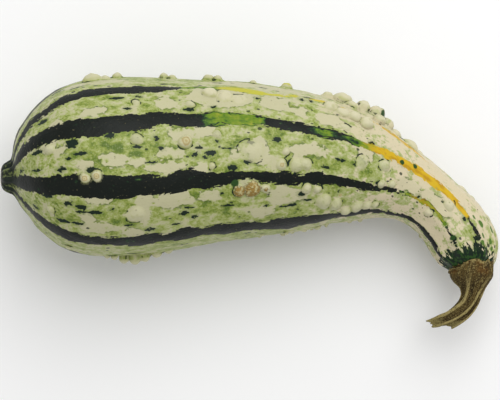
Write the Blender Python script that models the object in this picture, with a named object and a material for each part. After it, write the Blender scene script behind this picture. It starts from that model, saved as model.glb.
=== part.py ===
# A warty, striped ornamental gourd lying on its side: the fruit, and the dried stem that it was cut off by.
# Written for Blender 4.5. Sizes are in millimetres, and MM turns them into Blender's metres.
# Places on the fruit are given as "along", which runs down its middle line from the blossom tip to the stem
# joint, and an angle round that line: 0 straight up, +90 towards +Y and -90 towards -Y.
import math
import random

import bmesh
import bpy
import numpy as np
from mathutils.geometry import delaunay_2d_cdt

MM = 0.001
TURN = 2.0 * math.pi

# The middle line of the fruit, from the blossom tip to the stem joint (x, y, z). It lies on its belly, so
# the line falls towards the thinner neck, which bends towards -Y and lifts again a little at the stem.
MIDDLE_LINE = (
    (-112.9, 10.5, 46.2), (-106.0, 10.7, 45.3), (-99.5, 11.6, 44.6), (-93.0, 12.4, 43.9),
    (-85.5, 13.2, 43.0), (-66.5, 15.0, 40.8), (-42.5, 16.1, 38.0), (-18.5, 17.7, 35.5),
    (3.5, 18.3, 33.3), (23.5, 17.9, 31.3), (36.5, 17.0, 29.9), (46.3, 15.0, 28.6),
    (56.6, 12.2, 27.4), (66.8, 8.4, 26.2), (75.8, 3.7, 25.1), (83.9, -2.7, 24.0),
    (91.2, -10.2, 23.1), (96.5, -18.5, 22.9), (99.1, -26.4, 24.1), (99.9, -33.2, 26.0),
)

# The outline that is turned round the middle line, as (along, radius).
NUB_OUTLINE = (
    (1.3, 1.4), (1.6, 3.6), (2.6, 5.3), (4.4, 6.3), (6.2, 7.2), (7.4, 9.4), (8.8, 13.4), (10.9, 17.6),
)
BELLY_OUTLINE = (
    (14.0, 22.8), (18.5, 28.1), (24.5, 33.0), (32.0, 36.8), (42.0, 39.2), (54.0, 39.9), (66.0, 39.5),
    (81.0, 38.1), (96.0, 36.4), (111.0, 35.1), (126.0, 33.0), (138.0, 31.2), (148.0, 28.9),
)
NECK_OUTLINE = (
    (157.0, 26.4), (166.0, 23.6), (175.0, 20.0), (184.0, 16.8), (194.0, 14.8), (204.0, 14.3),
    (213.0, 14.8), (221.0, 14.9), (227.0, 14.2), (232.2, 12.5), (234.9, 10.7), (236.2, 9.2), (236.5, 6.0),
    (236.6, 2.5),
)

# Ten shallow ribs, one under each stripe of the skin, at these angles. The first one is given again, a turn
# later, to close the round. The ribs stand highest on the nub and on the shoulder beside the stem.
RIB_ANGLES = (-57.0, -14.0, 30.0, 60.0, 92.0, 126.0, 160.0, 196.0, 231.0, 267.0, 303.0)
RIB_HEIGHT = 0.25
NUB_RIBS, SHOULDER_RIBS = (6.0, 6.0, 0.5), (228.0, 8.0, 0.5)  # where along, how far they reach, extra height

# Warts on the side that faces up, each as (along, angle, radius, height). One that is higher than its
# radius is a pearl: a ball that stands on the skin.
BLOSSOM_END_WARTS = (
    (23, 17, 2.7, 1.6), (21, -34, 2.2, 1.1), (37, -36, 4.0, 0.8), (28, -75, 1.6, 1.3), (37, -7, 2.4, 2.7),
    (42, -6, 2.6, 2.9), (48, -19, 1.8, 0.9), (45, 83, 3.4, 3.3), (50, 84, 1.9, 2.6), (55, 84, 2.3, 2.8),
)
BELLY_WARTS = (
    (60, 16, 2.9, 2.0), (69, 16, 3.6, 0.9), (61, 43, 2.0, 1.0), (82, 13, 3.3, 2.5), (86, 42, 2.2, 1.3),
    (77, 87, 2.3, 2.6), (81, 87, 1.7, 1.8), (96, 87, 2.4, 2.8), (100, 86, 2.0, 2.4), (95, 54, 3.0, 2.8),
    (101, 51, 2.7, 1.2), (96, 18, 2.1, 1.0), (93, -4, 1.6, 1.0), (107, 14, 5.8, 0.9),
    (105, -23, 2.7, 1.6), (111, -22, 3.9, 2.1), (117, -22, 2.2, 1.3), (124, -4, 2.7, 1.9),
    (132, -4, 4.0, 3.0), (126, 6, 1.8, 1.1), (129, 87, 2.3, 2.4), (115, 86, 1.7, 1.2),
    (59, -33, 4.5, 1.6),
)
BELLY_EDGE_WARTS = (
    (50, -88, 2.2, 1.4), (55, -91, 2.5, 3.4), (60, -91, 2.9, 4.2), (64, -89, 2.4, 3.3),
    (69, -86, 2.1, 1.7),
)
SHOULDER_PEARLS = (
    (165, 84, 9.0, 1.9), (146, 88, 1.8, 2.4), (151, 86, 3.4, 3.9), (154, 77, 2.4, 2.6),
    (158, 84, 3.0, 4.8), (164, 85, 3.3, 5.4), (169, 84, 2.9, 3.5), (165, 71, 2.9, 3.6),
    (174, 84, 3.0, 1.5), (181, 86, 3.8, 2.2), (149, 52, 2.2, 1.6), (153, 52, 2.5, 2.0),
    (157, 49, 3.3, 2.7), (151, 35, 2.0, 1.0),
)
NECK_WARTS = (
    (136, -23, 2.6, 1.8), (141, -24, 2.0, 1.4), (145, -37, 3.9, 3.1), (152, -41, 3.1, 2.6),
    (159, -51, 2.5, 2.0), (165, -44, 3.1, 2.5), (169, -42, 2.3, 1.9), (172, -41, 1.8, 1.3),
    (172, -11, 2.1, 1.2), (177, -7, 2.0, 1.2), (139, -84, 1.8, 1.0), (146, -83, 2.2, 1.3),
    (152, -82, 1.9, 1.1), (160, 6, 3.6, 1.1), (171, 11, 2.9, 1.2), (185, 79, 2.2, 1.1),
    (200, -20, 2.2, 0.9), (205, 16, 2.7, 1.1), (206, 87, 2.6, 0.8), (220, 84, 2.2, 1.0),
)
SEEN_WARTS = BLOSSOM_END_WARTS + BELLY_WARTS + BELLY_EDGE_WARTS + SHOULDER_PEARLS + NECK_WARTS

# The other warts are scattered over the side that faces down: strings of them, then single ones, then
# little ones along the lower edge.
SCATTER_SEED = 23
STRINGS, SINGLES, EDGE_ONES = 7, 34, 15
STRING_WARTS, STRING_SPREAD = (3, 7), (9.0, 7.0)  # how many warts in a string, and how far they spread
STRING_ALONG, STRING_ANGLES = (30.0, 205.0), (115.0, 245.0)
SCATTER_ALONG, SCATTER_ANGLES = (18.0, 222.0), (100.0, 262.0)
EDGE_ALONG, EDGE_ANGLES = (112.0, 180.0), (-100.0, -76.0)
WART_RADII, EDGE_WART_RADII = (1.5, 3.9), (1.1, 1.7)
WART_HEIGHTS = (0.45, 1.05)  # of the radius
WART_CLEARANCE = 0.8  # of the two radii that meet
SEAM_CLEARANCE = 2.5

SEAM_ANGLE = 196.0  # where the flat map of the skin is joined, in the middle of a stripe underneath
SKIN_SPACING = (1.6, 5.7)  # between the skin's own points, at least and at most
POINTS_ROUND, FEWEST_ROUND = 22, 8  # round the thin parts, and round the tips
ROW_STEP = 0.866  # of the spacing, so that the points of neighbouring rows make even triangles
CLOSEST_POINTS = 0.55
WART_FOOT = 1.04  # of its radius
FOOT_CLEARANCE = 0.3  # of the skin's spacing, between a wart's foot and the skin's own points
COARSE_WART_RADIUS = 2.4  # smaller warts get fewer rings
SAME_PLACE = 1e-9

# The stem: a ridged stalk that flares where it clasps the fruit and again at its slanting, frayed cut end.
# Its line starts at the middle of the joint and is given from there.
STEM_GAP = 0.35
STEM_LINE = (
    (0.5, 0.0, 0.0), (0.7, -4.8, 1.2), (0.5, -9.1, 1.9), (-0.6, -13.3, 2.2), (-2.8, -17.0, 2.1),
    (-6.1, -20.2, 1.7), (-10.0, -22.8, 1.0), (-14.1, -24.8, 0.1), (-18.2, -26.6, -0.8), (-22.2, -28.1, -1.7),
)
STEM_OUTLINE = (
    (0.0, 8.6), (0.9, 9.4), (3.2, 9.3), (5.4, 8.0), (7.3, 6.3), (8.9, 5.1), (10.9, 4.3), (13.5, 3.8),
    (16.4, 3.7), (20.0, 3.7), (25.0, 3.7), (30.0, 3.6), (36.0, 3.3), (42.0, 3.0),
)
STEM_RIDGES, RIDGE_HEIGHT, LOBE_HEIGHT, LOBE_REACH = 5, 1.3, 1.0, 5.0
STRONG_SHARPNESS, WEAK_SHARPNESS, WEAK_HEIGHT = 1.6, 5, 0.4
MEAN_CREST = 0.4
STEM_TWIST = math.radians(-75.0)  # over the whole length
STEM_LENGTH, CUT_SLANT, FRAY = 31.4, 5.6, 1.8
CUT_SIDE = math.radians(-75.0)  # the side of the stem that reaches furthest
CUT_RINGS = ((0.74, 0.9), (0.4, 0.5), (0.0, 1.1))  # how far out, and how deep, the rings of the cut face lie
STEM_STATIONS, STEM_COLUMNS = 24, 40
STATION_CROWDING = 0.4  # how much closer the stations lie at the flare than at the cut

# Plain finishes, as a colour and a roughness.
RIND, DRY_STEM = ((0.42, 0.46, 0.22, 1.0), 0.5), ((0.16, 0.12, 0.06, 1.0), 0.85)


def curve_through(points, steps=12):
    """Points along the centripetal Catmull-Rom curve through the given ones."""
    p = np.array(points, float)
    p = np.vstack([2 * p[0] - p[1], p, 2 * p[-1] - p[-2]])
    made = [p[1]]
    for a, b, c, d in zip(p, p[1:], p[2:], p[3:]):
        gaps = [math.sqrt(np.linalg.norm(q - o)) for o, q in ((a, b), (b, c), (c, d))]
        ta, tb, tc, td = np.cumsum([0.0] + gaps)
        for t in np.linspace(tb, tc, steps + 1)[1:]:
            ab = ((tb - t) * a + (t - ta) * b) / (tb - ta)
            bc = ((tc - t) * b + (t - tb) * c) / (tc - tb)
            cd = ((td - t) * c + (t - tc) * d) / (td - tc)
            abc = ((tc - t) * ab + (t - ta) * bc) / (tc - ta)
            bcd = ((td - t) * bc + (t - tb) * cd) / (td - tb)
            made.append(((tc - t) * abc + (t - tb) * bcd) / (tc - tb))
    return np.array(made)


def run_lengths(points):
    """The distance walked along a polyline at each of its points."""
    return np.concatenate([[0.0], np.cumsum(np.linalg.norm(np.diff(points, axis=0), axis=1))])


class Spine:
    """A middle line in space, with the directions across it."""

    def __init__(self, points):
        self.points = points
        self.along = run_lengths(points)
        tangents = np.gradient(points, self.along, axis=0)
        self.tangents = tangents / np.linalg.norm(tangents, axis=1)[:, None]
        sides = np.cross((0.0, 0.0, 1.0), self.tangents)
        self.sides = sides / np.linalg.norm(sides, axis=1)[:, None]
        self.ups = np.cross(self.tangents, self.sides)

    def read(self, rows, along):
        return np.stack([np.interp(along, self.along, rows[:, i]) for i in range(3)], axis=-1)

    def frame(self, along, angle):
        """The point on the line, the line's direction, and the way out from it at an angle in radians."""
        out = self.read(self.ups, along) * np.cos(angle)[..., None]
        out = out + self.read(self.sides, along) * np.sin(angle)[..., None]
        return self.read(self.points, along), self.read(self.tangents, along), out


class Skin:
    """The smooth surface under the warts: an outline turned round the middle line, with ribs."""

    def __init__(self):
        self.spine = Spine(curve_through(MIDDLE_LINE))
        outline = curve_through(NUB_OUTLINE + BELLY_OUTLINE + NECK_OUTLINE)
        self.along, self.radius = outline.T
        self.run = run_lengths(outline)
        slope = np.gradient(outline, self.run, axis=0)
        self.slope = slope / np.linalg.norm(slope, axis=1)[:, None]
        # East on the flat map is the angle, and north is stretched as on a sea chart, so that a small circle
        # on the fruit is a circle on the map too.
        steps = np.diff(self.run) / (0.5 * (self.radius[1:] + self.radius[:-1]))
        self.north = np.concatenate([[0.0], np.cumsum(steps)])

    def ribs(self, along, angle):
        """How far out the ribs stand."""
        turned = (np.degrees(angle) - RIB_ANGLES[0]) % 360.0 + RIB_ANGLES[0]
        rib = np.interp(turned, RIB_ANGLES, np.arange(len(RIB_ANGLES)))
        height = RIB_HEIGHT
        for middle, reach, extra in (NUB_RIBS, SHOULDER_RIBS):
            height = height + extra * np.exp(-(((along - middle) / reach) ** 2))
        return height * np.cos(TURN * rib)

    def place(self, north, angle, lift):
        """Points above the skin, lifted off it along its normal."""
        along = np.interp(north, self.north, self.along)
        radius = np.interp(north, self.north, self.radius)
        forward = np.interp(north, self.north, self.slope[:, 0])
        widening = np.interp(north, self.north, self.slope[:, 1])
        middle, tangent, out = self.spine.frame(along, angle)
        reach = radius + self.ribs(along, angle) * np.minimum(1.0, radius / NUB_OUTLINE[3][1])
        normal = out * forward[..., None] - tangent * widening[..., None]
        return middle + out * reach[..., None] + normal * np.asarray(lift)[..., None]


class Warts:
    """All warts on the flat map: their middles, and how high they lift the skin anywhere."""

    def __init__(self, skin, listed):
        along, degrees, self.radius, self.height = np.array(listed, float).T
        self.north = np.interp(along, skin.along, skin.north)
        self.east = np.radians(degrees - SEAM_ANGLE) % TURN
        self.scale = np.interp(along, skin.along, skin.radius)
        self.stalk = np.maximum(0.0, self.height - self.radius)

    def rise(self, number, reach):
        """The height of one wart at a distance from its middle."""
        inside = np.maximum(0.0, 1.0 - (reach / self.radius[number]) ** 2)
        cap = min(self.height[number], self.radius[number])
        return np.where(inside > 0.0, self.stalk[number] + cap * np.sqrt(inside), 0.0)

    def distance(self, number, north, east):
        return self.scale[number] * np.hypot(north - self.north[number], east - self.east[number])

    def rings(self, number):
        """Rings of points for one wart, from its top to its foot, as (share of the radius, how many)."""
        if self.radius[number] > COARSE_WART_RADIUS:
            return ((0.0, 1), (0.5, 6), (0.88, 11), (WART_FOOT, 13))
        return ((0.0, 1), (0.7, 6), (WART_FOOT, 9))


def scattered_warts(skin):
    """The warts of the side that faces down, from a seeded draw that keeps them apart."""
    draw = random.Random(SCATTER_SEED)
    middles = []
    for _ in range(STRINGS):
        along, angle = draw.uniform(*STRING_ALONG), draw.uniform(*STRING_ANGLES)
        for _ in range(draw.randint(*STRING_WARTS)):
            along_spread, angle_spread = STRING_SPREAD
            middles.append((draw.gauss(along, along_spread), draw.gauss(angle, angle_spread), WART_RADII))
    for _ in range(SINGLES):
        middles.append((draw.uniform(*SCATTER_ALONG), draw.uniform(*SCATTER_ANGLES), WART_RADII))
    for _ in range(EDGE_ONES):
        middles.append((draw.uniform(*EDGE_ALONG), draw.uniform(*EDGE_ANGLES) % 360.0, EDGE_WART_RADII))
    kept = list(SEEN_WARTS)
    for along, angle, (smallest, largest) in middles:
        radius = smallest + (largest - smallest) * draw.random() ** 2
        height = radius * draw.uniform(*WART_HEIGHTS)
        if clear_of_others(skin, kept, along, angle, radius, height):
            kept.append((along, angle, radius, height))
    return kept[len(SEEN_WARTS):]


def clear_of_others(skin, kept, along, angle, radius, height):
    """Whether a wart stays off the ground, off the map's seam and off its neighbours."""
    across = np.interp(along, skin.along, skin.radius)
    north = np.array(np.interp(along, skin.along, skin.north))
    if skin.place(north, np.array(math.radians(angle)), height)[2] < radius:
        return False
    if abs(math.radians(angle - SEAM_ANGLE)) * across < radius + SEAM_CLEARANCE:
        return False
    for other_along, other_angle, other_radius, _ in kept:
        turn = math.radians((angle - other_angle + 180.0) % 360.0 - 180.0)
        if math.hypot(along - other_along, turn * across) < WART_CLEARANCE * (radius + other_radius):
            return False
    return True


def skin_rows(skin):
    """Rows of evenly spread points round the skin, on the map, from one side of the seam to the other."""
    closest, widest = SKIN_SPACING
    spacing = np.clip(TURN * skin.radius / POINTS_ROUND, closest, widest)
    steps = np.diff(skin.run) / (ROW_STEP * 0.5 * (spacing[1:] + spacing[:-1]))
    rows = np.concatenate([[0.0], np.cumsum(steps)])
    for number, row in enumerate(np.linspace(0.0, rows[-1], round(rows[-1]) + 1)):
        north = np.interp(row, rows, skin.north)
        around = round(TURN * np.interp(row, rows, skin.radius) / np.interp(row, rows, spacing))
        around = max(FEWEST_ROUND, around)
        east = (np.arange(around) + 0.5 * (number % 2)) / around
        east = np.unique(np.concatenate([[0.0], east, [1.0]]))
        yield north, east * TURN


def map_points(skin, warts):
    """All points of the fruit's surface as rows of (north, east, lift), the wart tops first."""
    made = []
    numbers = range(len(warts.radius))
    for level in range(4):
        for number in numbers:
            rings = warts.rings(number)
            if level >= len(rings):
                continue
            share, count = rings[level]
            turn = TURN * (np.arange(count) + 0.5 * (level % 2)) / count
            reach = share * warts.radius[number]
            north = warts.north[number] + reach / warts.scale[number] * np.cos(turn)
            east = warts.east[number] + reach / warts.scale[number] * np.sin(turn)
            own = warts.rise(number, np.full(count, reach))
            others = np.zeros(count)
            for other in numbers:
                if other != number:
                    others = np.maximum(others, warts.rise(other, warts.distance(other, north, east)))
            foot = share == WART_FOOT
            limit = warts.rise(number, rings[-2][0] * warts.radius[number]) if foot else own
            lift = np.maximum(own, others) if foot else own
            keep = others < limit
            made.append(np.column_stack([north, east, lift])[keep])
    for north, east in skin_rows(skin):
        clear = np.ones(len(east), bool)
        for number in numbers:
            spacing = min(SKIN_SPACING[1], TURN * warts.scale[number] / POINTS_ROUND)
            spare = warts.radius[number] * WART_FOOT + FOOT_CLEARANCE * spacing
            clear &= warts.distance(number, north, east) > spare
        clear[[0, -1]] = True
        made.append(np.column_stack([np.full(len(east), north), east, np.zeros(len(east))])[clear])
    return thinned(skin, np.vstack(made))


def thinned(skin, points):
    """The points without those that lie too close to one before them."""
    scale = np.interp(points[:, 0], skin.north, skin.radius)
    inside = (points[:, 1] > SAME_PLACE) & (points[:, 1] < TURN - SAME_PLACE)
    keep = np.ones(len(points), bool)
    for number in np.flatnonzero(inside):
        near = scale[number] * np.hypot(*(points[:number, :2] - points[number, :2]).T) < CLOSEST_POINTS
        keep[number] = not (near & keep[:number]).any()
    return points[keep]


def rolled_up(skin, points):
    """The closed surface: the map's triangles, joined along the seam and closed by a fan at each end."""
    flat = [tuple(p) for p in points[:, :2]]
    _, _, faces, sources, _, _ = delaunay_2d_cdt(flat, [], [], 0, SAME_PLACE, True)
    points = points[[ids[0] for ids in sources]]
    north, east = points[:, 0], points[:, 1]
    places = skin.place(north, east + math.radians(SEAM_ANGLE), points[:, 2])
    start = {round(n, 6): i for i, (n, e) in enumerate(zip(north, east)) if e < SAME_PLACE}
    joined = [start[round(n, 6)] if e > TURN - SAME_PLACE else i for i, (n, e) in enumerate(zip(north, east))]
    triangles = [tuple(joined[i] for i in face) for face in faces]
    triangles = [t for t in triangles if len(set(t)) == 3]
    for end in (0.0, skin.north[-1]):
        ring = [i for i in range(len(points)) if abs(north[i] - end) < SAME_PLACE and joined[i] == i]
        ring.sort(key=lambda i: east[i])
        places = np.vstack([places, places[ring].mean(axis=0)])
        for a, b in zip(ring, ring[1:] + ring[:1]):
            triangles.append((a, b, len(places) - 1))
    return places, triangles


def solid(name, places, faces, colour, roughness):
    """A closed object from points in millimetres, with its faces turned outwards and shaded smooth."""
    mesh = bpy.data.meshes.new(name)
    mesh.from_pydata((places * MM).tolist(), [], faces)
    shape = bmesh.new()
    shape.from_mesh(mesh)
    loose = [v for v in shape.verts if not v.link_faces]
    bmesh.ops.delete(shape, geom=loose, context="VERTS")
    bmesh.ops.recalc_face_normals(shape, faces=shape.faces)
    shape.to_mesh(mesh)
    shape.free()
    mesh.shade_smooth()
    material = bpy.data.materials.new(name)
    material.use_nodes = True
    surface = material.node_tree.nodes["Principled BSDF"]
    surface.inputs["Base Color"].default_value = colour
    surface.inputs["Roughness"].default_value = roughness
    mesh.materials.append(material)
    made = bpy.data.objects.new(name, mesh)
    bpy.context.scene.collection.objects.link(made)
    return made


def cut_flat_spot(fruit):
    """The small flat spot that the gourd lies on: all of it below the ground is cut away."""
    shape = bmesh.new()
    shape.from_mesh(fruit.data)
    everything = shape.verts[:] + shape.edges[:] + shape.faces[:]
    cut = bmesh.ops.bisect_plane(
        shape, geom=everything, dist=0.03 * MM, plane_co=(0, 0, 0), plane_no=(0, 0, 1), clear_inner=True)
    rim = [e for e in cut["geom_cut"] if isinstance(e, bmesh.types.BMEdge)]
    spot = bmesh.ops.edgeloop_fill(shape, edges=rim)["faces"]
    for corner in {v for face in spot for v in face.verts}:
        corner.co.z = 0.0
    bmesh.ops.triangulate(shape, faces=shape.faces)
    bmesh.ops.recalc_face_normals(shape, faces=shape.faces)
    shape.to_mesh(fruit.data)
    shape.free()
    fruit.data.set_sharp_from_angle(angle=math.radians(50.0))


def build_fruit(skin):
    warts = Warts(skin, SEEN_WARTS + tuple(scattered_warts(skin)))
    places, triangles = rolled_up(skin, map_points(skin, warts))
    fruit = solid("fruit", places, triangles, *RIND)
    cut_flat_spot(fruit)
    return fruit


def ridge(turn):
    """The stem's crests: five strong ones and a weak one between each two, from 0 to 1."""
    strong = (0.5 + 0.5 * np.cos(STEM_RIDGES * turn)) ** STRONG_SHARPNESS
    weak = (0.5 - 0.5 * np.cos(STEM_RIDGES * turn)) ** WEAK_SHARPNESS
    return strong + WEAK_HEIGHT * weak


def build_stem(skin):
    start, direction, _ = skin.spine.frame(np.array(skin.along[-1]), np.array(0.0))
    start = start + direction * STEM_GAP
    spine = Spine(curve_through(start + np.array(STEM_LINE)))
    radius = curve_through(STEM_OUTLINE)
    angles = TURN * np.arange(STEM_COLUMNS) / STEM_COLUMNS
    crest_at_end = ridge(angles - STEM_TWIST)
    reach = STEM_LENGTH + CUT_SLANT * np.cos(angles - CUT_SIDE) + FRAY * (crest_at_end - 0.5)
    share = np.linspace(0.0, 1.0, STEM_STATIONS)[:, None]
    along = ((1.0 - STATION_CROWDING) * share + STATION_CROWDING * share ** 2) * reach
    turned = np.broadcast_to(angles, along.shape)
    crest = ridge(turned - STEM_TWIST * share) - MEAN_CREST
    grip = np.exp(-((along / LOBE_REACH) ** 2))
    height = (RIDGE_HEIGHT * (1.0 - grip) + LOBE_HEIGHT * grip) * crest
    middle, _, out = spine.frame(along, turned)
    tube = middle + out * (np.interp(along, *radius.T) + height)[..., None]
    rim = tube[-1]
    heart = rim.mean(axis=0)
    inwards = -spine.frame(np.array(STEM_LENGTH), np.array(0.0))[1]
    *cut_rings, (_, heart_depth) = CUT_RINGS
    rings = list(tube) + [heart + (rim - heart) * share_out + inwards * deep for share_out, deep in cut_rings]
    places = np.vstack(rings + [heart + inwards * heart_depth, start])
    last = len(rings) - 1
    faces = []
    for i in range(STEM_COLUMNS):
        j = (i + 1) % STEM_COLUMNS
        for row in range(last):
            a, b = row * STEM_COLUMNS, (row + 1) * STEM_COLUMNS
            faces += [(a + i, a + j, b + j), (a + i, b + j, b + i)]
        top = last * STEM_COLUMNS
        faces += [(top + i, top + j, len(places) - 2), (j, i, len(places) - 1)]
    return solid("stem", places, faces, *DRY_STEM)


def main():
    for thing in list(bpy.data.objects):
        bpy.data.objects.remove(thing)
    skin = Skin()
    build_fruit(skin)
    build_stem(skin)


main()
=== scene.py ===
# %% [markdown]
# # A warty ornamental gourd
# The real thing is a ripe ornamental gourd that lies on its side: a fat striped belly, a neck that bends
# and thins out, and a short dead stem. Its look comes from three things that lie over each other: the
# bent form, the warts that stand on it, and a skin of dark stripes on cream patches and green mottling.
# This lesson makes them in that order. First comes the frame: the plain solids that the finished pieces
# have to fit.

# %% Load the frame
import math
import random

import bmesh
import bpy
import numpy as np
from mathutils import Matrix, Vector, noise
from mathutils.geometry import delaunay_2d_cdt
from mathutils.kdtree import KDTree


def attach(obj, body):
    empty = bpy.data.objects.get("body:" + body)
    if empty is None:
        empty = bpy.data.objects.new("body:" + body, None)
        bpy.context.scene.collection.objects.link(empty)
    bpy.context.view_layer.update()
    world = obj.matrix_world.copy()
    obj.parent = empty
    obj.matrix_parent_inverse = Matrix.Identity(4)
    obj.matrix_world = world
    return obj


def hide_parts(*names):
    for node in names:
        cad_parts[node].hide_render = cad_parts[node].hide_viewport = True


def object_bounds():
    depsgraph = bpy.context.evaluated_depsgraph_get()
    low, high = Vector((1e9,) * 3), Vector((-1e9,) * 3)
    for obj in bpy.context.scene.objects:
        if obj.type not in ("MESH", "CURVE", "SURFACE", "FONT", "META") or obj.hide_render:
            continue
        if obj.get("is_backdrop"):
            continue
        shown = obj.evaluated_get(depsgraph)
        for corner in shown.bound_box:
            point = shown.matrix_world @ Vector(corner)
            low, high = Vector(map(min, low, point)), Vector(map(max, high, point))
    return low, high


MM = 0.001
TURN = 2.0 * math.pi

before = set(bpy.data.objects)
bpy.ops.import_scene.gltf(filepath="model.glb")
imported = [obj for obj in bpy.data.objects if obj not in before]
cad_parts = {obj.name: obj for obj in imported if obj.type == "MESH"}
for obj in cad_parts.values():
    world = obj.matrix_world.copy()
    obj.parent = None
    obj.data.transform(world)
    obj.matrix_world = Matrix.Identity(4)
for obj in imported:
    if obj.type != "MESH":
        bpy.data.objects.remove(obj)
cad_box = [list(corner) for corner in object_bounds()]
print("nodes:", sorted(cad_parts))
print("their box in mm:", [[round(v / MM) for v in corner] for corner in cad_box])

# %% [markdown]
# ## The bent form
# A gourd is close to a turned shape, such as a vase, whose axis was bent as it grew. So two short lists
# hold all of it: the middle line in space, and the outline as a radius at each distance along that line.
# A smooth curve is drawn through each list. Places on the fruit are then named as a grower would point to
# them: how far along from the blossom end, and at which angle round the middle line, with 0 on top and
# +90 towards +Y.

# %% The middle line and the outline
MIDDLE_LINE = (
    (-112.9, 10.5, 46.2), (-106.0, 10.7, 45.3), (-99.5, 11.6, 44.6), (-93.0, 12.4, 43.9),
    (-85.5, 13.2, 43.0), (-66.5, 15.0, 40.8), (-42.5, 16.1, 38.0), (-18.5, 17.7, 35.5), (3.5, 18.3, 33.3),
    (23.5, 17.9, 31.3), (36.5, 17.0, 29.9), (46.3, 15.0, 28.6), (56.6, 12.2, 27.4), (66.8, 8.4, 26.2),
    (75.8, 3.7, 25.1), (83.9, -2.7, 24.0), (91.2, -10.2, 23.1), (96.5, -18.5, 22.9), (99.1, -26.4, 24.1),
    (99.9, -33.2, 26.0),
)
NUB_OUTLINE = (
    (1.3, 1.4), (1.6, 3.6), (2.6, 5.3), (4.4, 6.3), (6.2, 7.2), (7.4, 9.4), (8.8, 13.4), (10.9, 17.6),
)
BELLY_OUTLINE = (
    (14.0, 22.8), (18.5, 28.1), (24.5, 33.0), (32.0, 36.8), (42.0, 39.2), (54.0, 39.9), (66.0, 39.5),
    (81.0, 38.1), (96.0, 36.4), (111.0, 35.1), (126.0, 33.0), (138.0, 31.2), (148.0, 28.9),
)
NECK_OUTLINE = (
    (157.0, 26.4), (166.0, 23.6), (175.0, 20.0), (184.0, 16.8), (194.0, 14.8), (204.0, 14.3),
    (213.0, 14.8), (221.0, 14.9), (227.0, 14.2), (232.2, 12.5), (234.9, 10.7), (236.2, 9.2), (236.5, 6.0),
    (236.6, 2.5),
)
RIB_ANGLES = (-57.0, -14.0, 30.0, 60.0, 92.0, 126.0, 160.0, 196.0, 231.0, 267.0, 303.0)
RIB_HEIGHT = 0.25
RIB_FADE_RADIUS = 6.3  # where the fruit is thinner than this, its ribs are lower
NUB_RIBS, SHOULDER_RIBS = (6.0, 6.0, 0.5), (228.0, 8.0, 0.5)  # where along, how far they reach, extra height
outline_points = NUB_OUTLINE + BELLY_OUTLINE + NECK_OUTLINE
print(len(MIDDLE_LINE), "points on the middle line and", len(outline_points), "on the outline")

# %% [markdown]
# A curve through a few points is easier to correct than a long row of points. This kind times
# each step by the square root of its length, so it never overshoots where the points lie unevenly.

# %% A smooth curve through points
def curve_through(points, steps=12):
    """Points along a smooth curve that passes through all of the given ones."""
    p = np.array(points, float)
    p = np.vstack([2 * p[0] - p[1], p, 2 * p[-1] - p[-2]])
    made = [p[1]]
    for a, b, c, d in zip(p, p[1:], p[2:], p[3:]):
        gaps = [math.sqrt(np.linalg.norm(q - o)) for o, q in ((a, b), (b, c), (c, d))]
        ta, tb, tc, td = np.cumsum([0.0] + gaps)
        for t in np.linspace(tb, tc, steps + 1)[1:]:
            ab = ((tb - t) * a + (t - ta) * b) / (tb - ta)
            bc = ((tc - t) * b + (t - tb) * c) / (tc - tb)
            cd = ((td - t) * c + (t - tc) * d) / (td - tc)
            abc = ((tc - t) * ab + (t - ta) * bc) / (tc - ta)
            bcd = ((td - t) * bc + (t - tb) * cd) / (td - tb)
            made.append(((tc - t) * abc + (t - tb) * bcd) / (tc - tb))
    return np.array(made)


def run_lengths(points):
    """The distance walked along a polyline at each of its points."""
    return np.concatenate([[0.0], np.cumsum(np.linalg.norm(np.diff(points, axis=0), axis=1))])


spine_points = curve_through(MIDDLE_LINE)
print("the middle line is", round(run_lengths(spine_points)[-1]), "mm long")

# %% [markdown]
# Two classes hold the form. The first says where the middle line is and which ways point up and aside
# from it. The second says where the skin is at any place along and round, which is all that the later
# steps ask for.

# %% The middle line with its directions
class Spine:
    """A middle line in space, with the directions across it."""

    def __init__(self, points):
        self.points = points
        self.along = run_lengths(points)
        tangents = np.gradient(points, self.along, axis=0)
        self.tangents = tangents / np.linalg.norm(tangents, axis=1)[:, None]
        sides = np.cross((0.0, 0.0, 1.0), self.tangents)
        self.sides = sides / np.linalg.norm(sides, axis=1)[:, None]
        self.ups = np.cross(self.tangents, self.sides)

    def read(self, rows, along):
        return np.stack([np.interp(along, self.along, rows[:, i]) for i in range(3)], axis=-1)

    def frame(self, along, angle):
        """The point on the line, the line's direction, and the way out from it at an angle in radians."""
        out = self.read(self.ups, along) * np.cos(angle)[..., None]
        out = out + self.read(self.sides, along) * np.sin(angle)[..., None]
        return self.read(self.points, along), self.read(self.tangents, along), out


spine = Spine(spine_points)
print("at the stem it points", [round(float(v), 2) for v in spine.tangents[-1]])


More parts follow.
